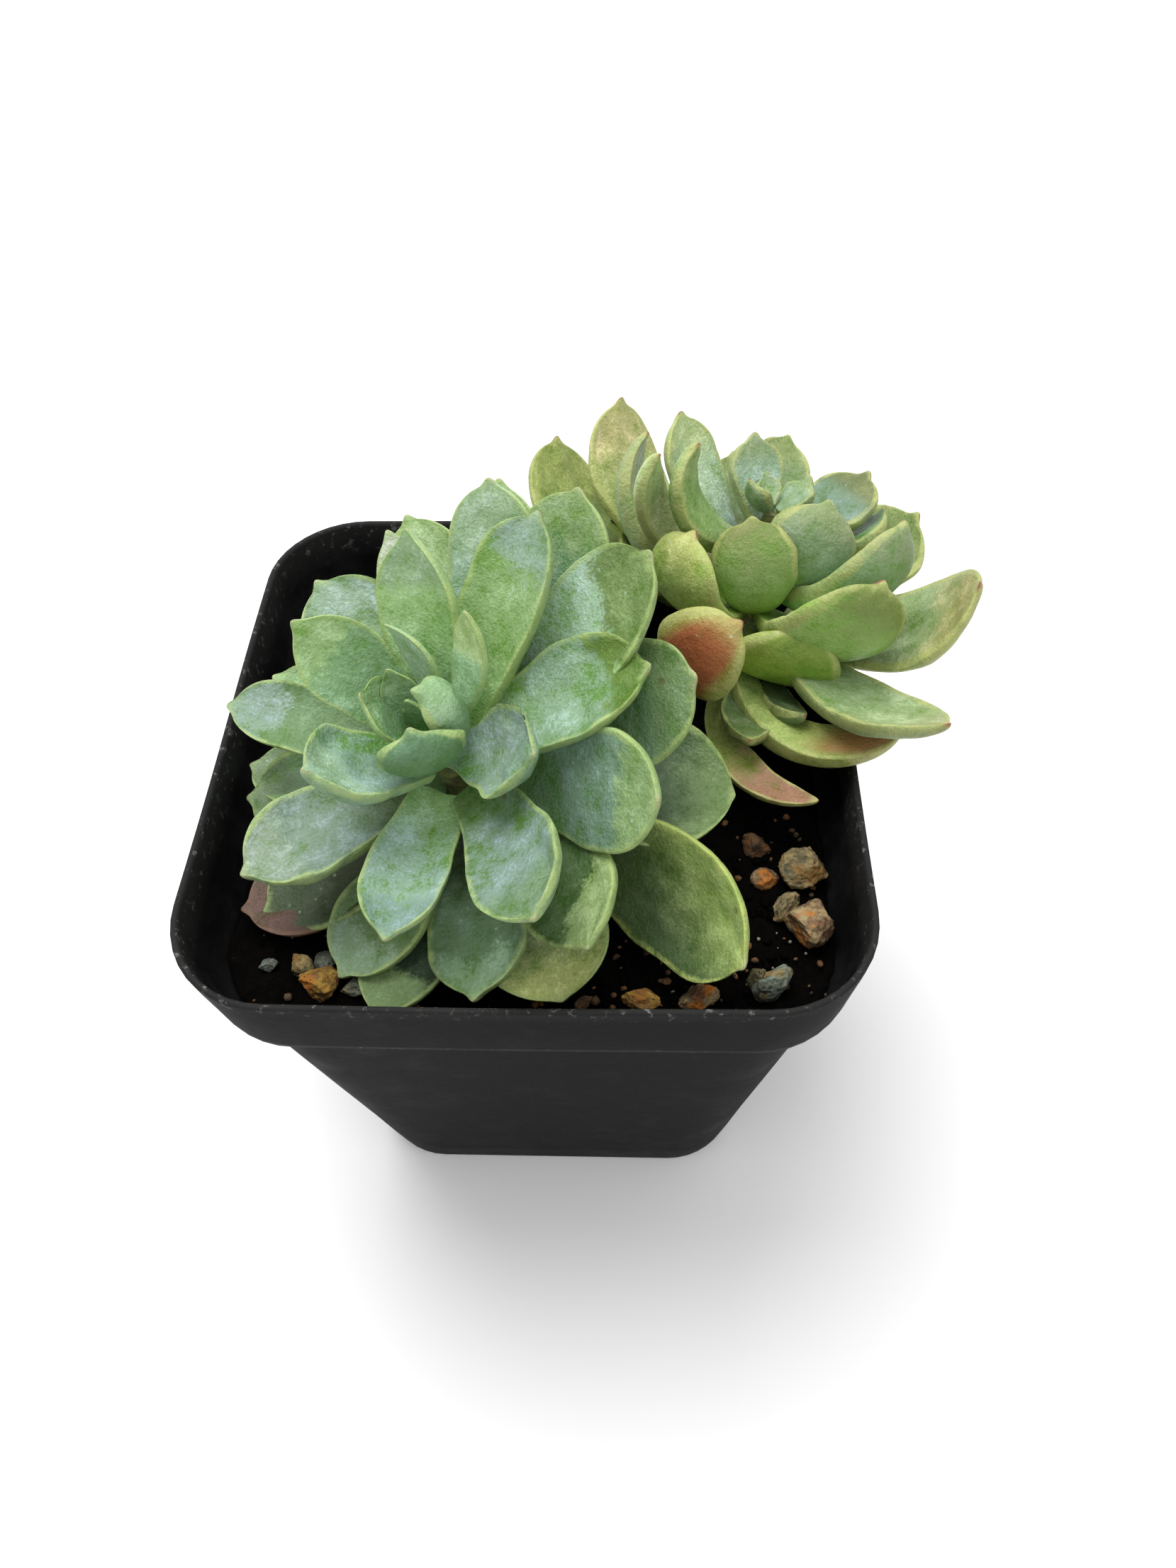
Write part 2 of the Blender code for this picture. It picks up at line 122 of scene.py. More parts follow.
def rounded_outline(half, corner, arc_steps=10, side_cuts=9):
    """A flat face with the outline of a rounded square, its corners made by a vertex bevel."""
    bm = bmesh.new()
    bmesh.ops.create_grid(bm, x_segments=1, y_segments=1, size=half * MM)
    bmesh.ops.bevel(bm, geom=bm.verts[:], offset=corner * MM, segments=arc_steps, profile=0.5,
                    affect="VERTICES", material=-1)
    sides = [e for e in bm.edges if e.calc_length() > 8 * MM]
    bmesh.ops.subdivide_edges(bm, edges=sides, cuts=side_cuts)
    return bm


def corner_terms(co, half, corner):
    """Splits a point of a rounded square into its corner centre and its offset from it."""
    inner = (half - corner) * MM
    centre = Vector((max(-inner, min(inner, co.x)), max(-inner, min(inner, co.y)), 0))
    return centre, Vector((co.x, co.y, 0)) - centre


def rework_ring(verts, old, new, z):
    """Moves one ring from the rounded square old to the rounded square new, at height z."""
    for v in verts:
        centre, offset = corner_terms(v.co, *old)
        centre = centre * ((new[0] - new[1]) / (old[0] - old[1]))
        offset = offset * (new[1] / old[1])
        v.co = centre + offset + Vector((0, 0, z * MM))


# Half width, corner radius and height of each ring: up the outside, over the rim and down the inside.
pot_profile = (
    (36.3, 13.5, 0.0), (37.0, 14.0, 0.7),
    (37.9, 14.0, 8.0), (39.5, 14.1, 22.0), (41.9, 14.2, 42.0), (44.3, 14.4, 62.0),
    (46.3, 14.5, 79.0), (46.45, 14.5, 80.3), (46.8, 14.6, 80.6),
    (48.2, 15.4, 80.6), (48.6, 15.5, 80.9), (48.75, 15.55, 82.0),
    (49.3, 15.8, 88.0), (49.75, 15.9, 93.0), (49.95, 16.0, 95.4), (49.85, 15.9, 95.85),
    (49.45, 15.6, 96.0), (49.05, 15.2, 95.8), (48.9, 15.0, 95.3),
    (48.3, 14.7, 89.0), (46.9, 14.2, 82.5), (45.4, 13.4, 80.0),
    (43.2, 13.3, 62.0), (38.4, 13.0, 22.0), (36.1, 12.9, 1.7),
)
pot_bm = rounded_outline(pot_profile[0][0], pot_profile[0][1])
ring_edges = pot_bm.edges[:]
scuff_and_highlight = pot_bm.verts.layers.float.new("scuff_and_highlight")
for old, new in zip(pot_profile, pot_profile[1:]):
    grown = bmesh.ops.extrude_edge_only(pot_bm, edges=ring_edges)
    ring_verts = [g for g in grown["geom"] if isinstance(g, bmesh.types.BMVert)]
    ring_edges = [g for g in grown["geom"] if isinstance(g, bmesh.types.BMEdge)
                  and g.verts[0] in ring_verts and g.verts[1] in ring_verts]
    rework_ring(ring_verts, old[:2], new[:2], new[2])
    height = new[2]
    # The rim and the band's edge are marked for pale scuffs and a painted highlight, the foot a quarter as
    # much.
    exposed = RIM_FROM < height or BAND_FROM < height < BAND_FROM + 0.5
    for v in ring_verts:
        v[scuff_and_highlight] = 1.0 if exposed else 0.25 if height < 1 else 0.0
bmesh.ops.contextual_create(pot_bm, geom=ring_edges)

# The thin wall bows and dips a little toward its rim.
for v in pot_bm.verts:
    height = v.co.z / MM
    if height > SOFT_FROM:
        sway = (height - SOFT_FROM) / SOFT_TALL
        bow = 0.45 * math.sin(v.co.x * 62 + 0.6) + 0.3 * math.sin(v.co.y * 55 - 0.9)
        v.co.z += 0.25 * bow * MM * sway
        side = Vector((v.co.x, v.co.y, 0))
        swing = math.sin(3 * math.atan2(side.y, side.x))
        v.co += side.normalized() * 0.25 * MM * swing * sway
bmesh.ops.recalc_face_normals(pot_bm, faces=pot_bm.faces)


def make_piece(name, bm, mat):
    """A smooth-shaded object from a bmesh that is in place already, riding on the one body."""
    mesh = bpy.data.meshes.new(name)
    bm.to_mesh(mesh)
    bm.free()
    mesh.materials.append(mat)
    mesh.polygons.foreach_set("use_smooth", [True] * len(mesh.polygons))
    piece = bpy.data.objects.new(name, mesh)
    bpy.context.scene.collection.objects.link(piece)
    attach(piece, "root")
    return piece


def node(tree, kind, **values):
    """A new node with its plain settings and the values of its named or numbered inputs."""
    made = tree.nodes.new(kind)
    for key, value in values.items():
        if key.startswith("in_"):
            socket = key[3:]
            socket = int(socket) if socket.isdigit() else socket.replace("_", " ")
            made.inputs[socket].default_value = value
        else:
            setattr(made, key, value)
    return made


def new_material(name):
    mat = bpy.data.materials.new(name)
    mat.use_nodes = True
    return mat, mat.node_tree, mat.node_tree.nodes["Principled BSDF"]


def band(tree, source, low, high, to_low=0.0, to_high=1.0):
    """Smooth step of a value from low to high."""
    step = node(tree, "ShaderNodeMapRange", interpolation_type="SMOOTHSTEP")
    step.inputs["From Min"].default_value = low
    step.inputs["From Max"].default_value = high
    step.inputs["To Min"].default_value = to_low
    step.inputs["To Max"].default_value = to_high
    tree.links.new(source, step.inputs["Value"])
    return step.outputs["Result"]


def mix(tree, amount, first, second):
    """Colour mix; each argument may be a socket or a plain value."""
    made = node(tree, "ShaderNodeMix", data_type="RGBA")
    for index, value in ((0, amount), (6, first), (7, second)):
        if isinstance(value, bpy.types.NodeSocket):
            tree.links.new(value, made.inputs[index])
        else:
            made.inputs[index].default_value = value
    return made.outputs[2]


def math_node(tree, operation, first, second=0.0):
    made = node(tree, "ShaderNodeMath", operation=operation)
    for index, value in ((0, first), (1, second)):
        if isinstance(value, bpy.types.NodeSocket):
            tree.links.new(value, made.inputs[index])
        else:
            made.inputs[index].default_value = value
    return made.outputs[0]


black_plastic, tree, shader = new_material("black_plastic")
where = node(tree, "ShaderNodeTexCoord")
wear_and_highlight = node(tree, "ShaderNodeAttribute", attribute_name="scuff_and_highlight")
blotch = node(tree, "ShaderNodeTexNoise", in_Scale=90.0, in_Detail=6.0, in_Roughness=0.65)
tree.links.new(where.outputs["Object"], blotch.inputs["Vector"])
fine = node(tree, "ShaderNodeTexNoise", in_Scale=1500.0, in_Detail=3.0, in_Roughness=0.6)
tree.links.new(where.outputs["Object"], fine.inputs["Vector"])
chips = node(tree, "ShaderNodeTexNoise", in_Scale=700.0, in_Detail=4.0, in_Roughness=0.7)
tree.links.new(where.outputs["Object"], chips.inputs["Vector"])
streak_map = node(tree, "ShaderNodeMapping")
streak_map.inputs["Scale"].default_value = (900.0, 900.0, 60.0)
tree.links.new(where.outputs["Object"], streak_map.inputs["Vector"])
streaks = node(tree, "ShaderNodeTexNoise", in_Scale=1.0, in_Detail=4.0)
tree.links.new(streak_map.outputs["Vector"], streaks.inputs["Vector"])
cloudy = band(tree, blotch.outputs["Fac"], 0.38, 0.68)
base = mix(tree, cloudy, (0.005, 0.005, 0.0055, 1), (0.013, 0.013, 0.013, 1))
runs = band(tree, streaks.outputs["Fac"], 0.62, 0.78)
dusty = math_node(tree, "MULTIPLY", runs, band(tree, blotch.outputs["Fac"], 0.5, 0.7))
base = mix(tree, math_node(tree, "MULTIPLY", dusty, 0.15), base, (0.05, 0.05, 0.048, 1))
# Along the rim and the band's edge the plastic is painted lighter all along as a highlight; the pale chips
# there are real scuffs, laid on more thickly to carry that highlight too.
scuffed = math_node(tree, "MULTIPLY", wear_and_highlight.outputs["Fac"], band(tree, chips.outputs["Fac"], 0.56, 0.72))
base = mix(tree, math_node(tree, "MULTIPLY", wear_and_highlight.outputs["Fac"], 0.5), base, (0.035, 0.035, 0.034, 1))
base = mix(tree, math_node(tree, "MULTIPLY", scuffed, 0.7), base, (0.22, 0.22, 0.21, 1))
tree.links.new(base, shader.inputs["Base Color"])
gloss = band(tree, blotch.outputs["Fac"], 0.3, 0.7, 0.5, 0.68)
gloss = math_node(tree, "ADD", gloss, math_node(tree, "MULTIPLY", scuffed, 0.25))
tree.links.new(gloss, shader.inputs["Roughness"])
grained = math_node(tree, "MULTIPLY", fine.outputs["Fac"], 0.5)
relief = math_node(tree, "ADD", grained, math_node(tree, "MULTIPLY", blotch.outputs["Fac"], 1.5))
dimples = node(tree, "ShaderNodeBump", in_Strength=0.35, in_Distance=0.0002)
tree.links.new(relief, dimples.inputs["Height"])
tree.links.new(dimples.outputs["Normal"], shader.inputs["Normal"])
shader.inputs["IOR"].default_value = 1.15
shader.inputs["Specular IOR Level"].default_value = 0.3

pot_shell = make_piece("pot_shell", pot_bm, black_plastic)

# Four drain holes through the floor.
drill_bm = bmesh.new()
for x, y in ((-1, -1), (1, -1), (1, 1), (-1, 1)):
    place = Matrix.Translation((x * DRAIN_OFFSET * MM, y * DRAIN_OFFSET * MM, 0))
    bmesh.ops.create_cone(drill_bm, cap_ends=True, segments=40, radius1=DRAIN_RADIUS * MM,
                          radius2=DRAIN_RADIUS * MM, depth=8 * MM, matrix=place)
drill_mesh = bpy.data.meshes.new("drill")
drill_bm.to_mesh(drill_mesh)
drill_bm.free()
drill = bpy.data.objects.new("drill", drill_mesh)
bpy.context.scene.collection.objects.link(drill)
drain_holes = pot_shell.modifiers.new("drain_holes", "BOOLEAN")
drain_holes.operation = "DIFFERENCE"
drain_holes.solver = "EXACT"
drain_holes.object = drill
drained = bpy.data.meshes.new_from_object(pot_shell.evaluated_get(bpy.context.evaluated_depsgraph_get()))
pot_shell.modifiers.remove(drain_holes)
pot_shell.data = drained
bpy.data.objects.remove(drill)
bpy.data.meshes.remove(drill_mesh)
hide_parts("pot")


# --- Soil -------------------------------------------------------------------------------------
# Nearly black peat mix pressed into the pot, with a lumpy top and loose crumbs of peat and bark.

SOIL_TOP = 81.0
SOIL_HALF = 45.9
SOIL_CORNER = 14.0
SOIL_BOTTOM = 2.0
SOIL_TAPER = 0.79

# A fine square grid is pulled out to the rounded outline and made lumpy at three sizes.
soil_bm = bmesh.new()
bmesh.ops.create_grid(soil_bm, x_segments=130, y_segments=130, size=1.0)
for v in soil_bm.verts:
    way = Vector((v.co.x, v.co.y))
    reach = max(abs(way.x), abs(way.y))
    if reach > 1e-6:
        edge = way / reach * SOIL_HALF
        inner = SOIL_HALF - SOIL_CORNER
        if abs(edge.x) > inner and abs(edge.y) > inner:
            centre = Vector((math.copysign(inner, edge.x), math.copysign(inner, edge.y)))
            edge = centre + (edge - centre).normalized() * SOIL_CORNER
        spot = edge * reach
    else:
        spot = way
    lumps = 1.1 * noise.noise(Vector((spot.x / 11, spot.y / 11, 3.0)))
    lumps += 1.0 * noise.noise(Vector((spot.x / 4, spot.y / 4, 7.0)))
    lumps += 0.55 * noise.noise(Vector((spot.x / 1.5, spot.y / 1.5, 1.0)))
    v.co = Vector((spot.x, spot.y, SOIL_TOP + 0.4 + lumps)) * MM
rim_edges = [e for e in soil_bm.edges if e.is_boundary]
skirt = bmesh.ops.extrude_edge_only(soil_bm, edges=rim_edges)
skirt_verts = [g for g in skirt["geom"] if isinstance(g, bmesh.types.BMVert)]
for v in skirt_verts:
    v.co = Vector((v.co.x * SOIL_TAPER, v.co.y * SOIL_TAPER, SOIL_BOTTOM * MM))
foot_edges = [g for g in skirt["geom"] if isinstance(g, bmesh.types.BMEdge)
              and g.verts[0] in skirt_verts and g.verts[1] in skirt_verts]
bmesh.ops.contextual_create(soil_bm, geom=foot_edges)
bmesh.ops.recalc_face_normals(soil_bm, faces=soil_bm.faces)

peat, tree, shader = new_material("peat")
where = node(tree, "ShaderNodeTexCoord")
grain = node(tree, "ShaderNodeTexNoise", in_Scale=700.0, in_Detail=8.0, in_Roughness=0.75)
tree.links.new(where.outputs["Object"], grain.inputs["Vector"])
flecks = node(tree, "ShaderNodeTexVoronoi", in_Scale=900.0)
tree.links.new(where.outputs["Object"], flecks.inputs["Vector"])
clods = band(tree, grain.outputs["Fac"], 0.4, 0.7)
damp = mix(tree, clods, (0.0008, 0.0006, 0.0005, 1), (0.004, 0.003, 0.002, 1))
pale = band(tree, flecks.outputs["Distance"], 0.16, 0.05)
pale = math_node(tree, "MULTIPLY", pale, band(tree, grain.outputs["Fac"], 0.58, 0.7))
damp = mix(tree, math_node(tree, "MULTIPLY", pale, 0.5), damp, (0.12, 0.08, 0.05, 1))
tree.links.new(damp, shader.inputs["Base Color"])
tree.links.new(band(tree, grain.outputs["Fac"], 0.3, 0.7, 0.75, 0.98), shader.inputs["Roughness"])
crumbly = node(tree, "ShaderNodeBump", in_Strength=0.9, in_Distance=0.0005)
tree.links.new(grain.outputs["Fac"], crumbly.inputs["Height"])
tree.links.new(crumbly.outputs["Normal"], shader.inputs["Normal"])
shader.inputs["Specular IOR Level"].default_value = 0.05
soil_block = make_piece("soil_block", soil_bm, peat)
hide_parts("soil")

scatter = random.Random(5)


def grit(bm, spot, size, squash=0.75):
    """One rough crumb at spot, size in mm."""
    angle = scatter.uniform(0, 6.28)
    lean = Matrix.Rotation(angle, 4, Vector((scatter.random(), scatter.random(), 0.3)).normalized())
    shape = Matrix.Diagonal((size * MM, size * scatter.uniform(0.7, 1.0) * MM, size * squash * MM, 1))
    made = bmesh.ops.create_icosphere(bm, subdivisions=1, radius=1.0)
    place = Matrix.Translation(Vector(spot) * MM) @ lean @ shape
    seed = scatter.uniform(0, 50)
    for v in made["verts"]:
        v.co *= 1.0 + 0.25 * noise.noise(v.co * 1.7 + Vector((seed, 0, 0)))
    bmesh.ops.transform(bm, matrix=place, verts=made["verts"])


# Crumbs all over the soil, except outside its rounded corners.
CRUMBS = 1700
CORNER_CUT = 74
crumb_bm = bmesh.new()
for _ in range(CRUMBS):
    x = scatter.uniform(-42, 42)
    y = scatter.uniform(-43, 38)
    if abs(x) + abs(y) > CORNER_CUT:
        continue
    size = 0.35 + 0.9 * scatter.random() ** 2.5
    grit(crumb_bm, (x, y, SOIL_TOP + 0.5 + 0.3 * size), size)
soil_crumbs = make_piece("soil_crumbs", crumb_bm, peat)
soil_crumbs.data.polygons.foreach_set("use_smooth", [False] * len(soil_crumbs.data.polygons))


# --- Gravel -----------------------------------------------------------------------------------
# Broken pumice and fired-clay grit mixed into the soil: two large tan and rust stones lying on top,
# smaller ones half sunk round them, bits of bark, and pale crumbs of perlite.

def stone_skin(name, pale, deep, stain, seed):
    """Rough stone: two tones in blotches, rusty stains, and pits darkened with painted shade."""
    mat, tree, shader = new_material(name)
    where = node(tree, "ShaderNodeTexCoord")
    moved = node(tree, "ShaderNodeMapping")
    moved.inputs["Location"].default_value = (seed, seed * 0.7, seed * 1.3)
    tree.links.new(where.outputs["Object"], moved.inputs["Vector"])
    tones = node(tree, "ShaderNodeTexNoise", in_Scale=330.0, in_Detail=6.0, in_Roughness=0.7)
    rust = node(tree, "ShaderNodeTexNoise", in_Scale=210.0, in_Detail=5.0, in_Roughness=0.6)
    pits = node(tree, "ShaderNodeTexVoronoi", in_Scale=1100.0)
    for item in (tones, rust, pits):
        tree.links.new(moved.outputs["Vector"], item.inputs["Vector"])
    colour = mix(tree, band(tree, tones.outputs["Fac"], 0.38, 0.64), (*deep, 1), (*pale, 1))
    colour = mix(tree, band(tree, rust.outputs["Fac"], 0.5, 0.62), colour, (*stain, 1))
    # Painted shade: the bumped hollows of the pits are coloured nearly black.
    colour = mix(tree, band(tree, pits.outputs["Distance"], 0.22, 0.05), colour, (0.012, 0.008, 0.006, 1))
    tree.links.new(colour, shader.inputs["Base Color"])
    tree.links.new(band(tree, tones.outputs["Fac"], 0.3, 0.7, 0.7, 0.95), shader.inputs["Roughness"])
    rough = node(tree, "ShaderNodeBump", in_Strength=0.9, in_Distance=0.0006)
    pitted = math_node(tree, "MULTIPLY", pits.outputs["Distance"], 0.6)
    tree.links.new(math_node(tree, "ADD", tones.outputs["Fac"], pitted), rough.inputs["Height"])
    tree.links.new(rough.outputs["Normal"], shader.inputs["Normal"])
    return mat


tan_stone = stone_skin("tan_stone", (0.36, 0.26, 0.11), (0.08, 0.075, 0.035), (0.24, 0.13, 0.03), 0.3)
gold_stone = stone_skin("gold_stone", (0.50, 0.30, 0.05), (0.16, 0.08, 0.02), (0.42, 0.16, 0.02), 2.7)
rust_stone = stone_skin("rust_stone", (0.36, 0.27, 0.13), (0.10, 0.045, 0.02), (0.45, 0.15, 0.015), 1.9)
grey_stone = stone_skin("grey_stone", (0.22, 0.26, 0.20), (0.07, 0.08, 0.06), (0.30, 0.21, 0.07), 4.4)
brown_stone = stone_skin("brown_stone", (0.16, 0.09, 0.035), (0.035, 0.02, 0.01), (0.20, 0.08, 0.02), 7.1)


FLATS = 9


def rock(name, centre, sizes, yaw, mat, seed):
    """A broken stone: a ball knocked into flats by slicing planes, then roughened."""
    bm = bmesh.new()
    bmesh.ops.create_icosphere(bm, subdivisions=5, radius=1.0)
    chooser = random.Random(seed)
    for _ in range(FLATS):
        way = Vector((chooser.uniform(-1, 1), chooser.uniform(-1, 1), chooser.uniform(-1, 1))).normalized()
        depth = chooser.uniform(0.55, 0.85)
        for v in bm.verts:
            over = v.co.dot(way) - depth
            if over > 0:
                v.co -= way * over * 0.92
    offset = Vector((seed, seed * 1.7, -seed))
    for v in bm.verts:
        swell = 0.10 * noise.noise(v.co * 2.3 + offset) + 0.06 * noise.noise(v.co * 6 + offset)
        swell += 0.035 * noise.noise(v.co * 15 + offset)
        v.co *= 1 + swell
    place = Matrix.Translation(Vector(centre) * MM) @ Matrix.Rotation(math.radians(yaw), 4, "Z")
    bmesh.ops.transform(bm, matrix=place @ Matrix.Diagonal((*[s * MM for s in sizes], 1)), verts=bm.verts)
    return make_piece(name, bm, mat)


def middle_of(name):
    """Middle of a CAD node's box, in mm."""
    low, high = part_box(name)
    return (low + high) / 2 / MM


large_tan = rock("large_tan_stone", middle_of("stone_tan"), (4.3, 3.4, 3.1), 25, tan_stone, 3)
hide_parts("stone_tan")
large_rust = rock("large_rust_stone", middle_of("stone_rust"), (4.1, 4.1, 3.6), -20, rust_stone, 11)
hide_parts("stone_rust")

# Smaller stones: centre, half sizes, turn and kind.
gravel = (
    ((39.0, -25.5, 82.8), (3.0, 1.6, 1.5), 50, tan_stone),
    ((36.2, -20.4, 82.7), (1.9, 2.3, 1.8), 80, rust_stone),
    ((35.3, -14.3, 82.7), (2.6, 2.2, 2.0), -30, brown_stone),
    ((35.9, -38.8, 83.4), (3.4, 2.3, 3.6), 28, grey_stone),
    ((33.9, -38.0, 83.4), (1.7, 1.5, 2.6), 60, tan_stone),
    ((25.1, -40.8, 82.5), (3.3, 1.9, 1.9), 8, rust_stone),
    ((16.9, -41.0, 82.4), (2.9, 1.8, 1.7), -12, gold_stone),
    ((-30.6, -39.4, 83.2), (3.2, 2.9, 2.8), 20, gold_stone),
    ((-33.6, -36.3, 83.0), (1.9, 2.5, 2.0), 70, tan_stone),
    ((-30.5, -35.4, 82.6), (1.5, 1.8, 1.4), -40, grey_stone),
    ((-25.4, -39.7, 82.4), (2.4, 1.5, 1.4), 15, grey_stone),
    ((-39.1, -36.3, 82.1), (1.5, 1.2, 1.1), 15, grey_stone),
    ((31.0, -32.5, 82.0), (1.5, 1.1, 0.9), 40, brown_stone),
    ((29.6, -24.6, 82.0), (1.7, 1.3, 1.0), 5, brown_stone),
    ((8.5, -41.6, 82.0), (1.6, 1.1, 0.9), 30, brown_stone),
)
for number, (centre, sizes, yaw, mat) in enumerate(gravel, 1):
    stone = rock(f"gravel_{number}", centre, sizes, yaw, mat, 20 + number)

BARK_BITS = 320
bark_bm = bmesh.new()
for _ in range(BARK_BITS):
    spot = (scatter.uniform(-41, 44), scatter.uniform(-43.5, -8), SOIL_TOP + 0.9)
    grit(bark_bm, spot, 0.25 + 0.7 * scatter.random() ** 2, squash=0.6)
bark_bits = make_piece("bark_bits", bark_bm, brown_stone)

perlite, tree, shader = new_material("perlite")
where = node(tree, "ShaderNodeTexCoord")
foam = node(tree, "ShaderNodeTexNoise", in_Scale=1800.0, in_Detail=3.0)
tree.links.new(where.outputs["Object"], foam.inputs["Vector"])
crumb_colour = mix(tree, foam.outputs["Fac"], (0.10, 0.08, 0.05, 1), (0.42, 0.38, 0.30, 1))
tree.links.new(crumb_colour, shader.inputs["Base Color"])
shader.inputs["Roughness"].default_value = 0.9
PERLITE_BITS = 60
perlite_bm = bmesh.new()
for _ in range(PERLITE_BITS):
    x = scatter.uniform(-36, 42)
    y = scatter.uniform(-44, -14)
    grit(perlite_bm, (x, y, SOIL_TOP + 0.9), 0.12 + 0.3 * scatter.random() ** 2, squash=0.9)
perlite_bits = make_piece("perlite_bits", perlite_bm, perlite)


# --- Stems ------------------------------------------------------------------------------------
# Short corky stems with the scars of shed leaves. They stay as the solids they are, with a bark
# finish: they are almost hidden under the leaves.

bark, tree, shader = new_material("bark")
where = node(tree, "ShaderNodeTexCoord")
rings = node(tree, "ShaderNodeTexNoise", in_Scale=450.0, in_Detail=6.0, in_Roughness=0.7)
squeezed = node(tree, "ShaderNodeMapping")
squeezed.inputs["Scale"].default_value = (1.0, 1.0, 2.6)
tree.links.new(where.outputs["Object"], squeezed.inputs["Vector"])
tree.links.new(squeezed.outputs["Vector"], rings.inputs["Vector"])
scarred = band(tree, rings.outputs["Fac"], 0.35, 0.65)
tree.links.new(mix(tree, scarred, (0.07, 0.07, 0.02, 1), (0.22, 0.25, 0.08, 1)), shader.inputs["Base Color"])
tree.links.new(band(tree, rings.outputs["Fac"], 0.3, 0.7, 0.65, 0.9), shader.inputs["Roughness"])
corky = node(tree, "ShaderNodeBump", in_Strength=0.8, in_Distance=0.0006)
tree.links.new(rings.outputs["Fac"], corky.inputs["Height"])
tree.links.new(corky.outputs["Normal"], shader.inputs["Normal"])
for name in ("front_stem", "back_stem"):
    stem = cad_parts[name]
    for stem_slot in stem.material_slots:
        stem_slot.material = bark


# --- Front rosette ----------------------------------------------------------------------------
# Plump spoon-shaped leaves in a spiral, nearly flat above and rounded below, each ending in a
# short point. A powdery blue-grey wax covers them, rubbed through to green, with pale margins.

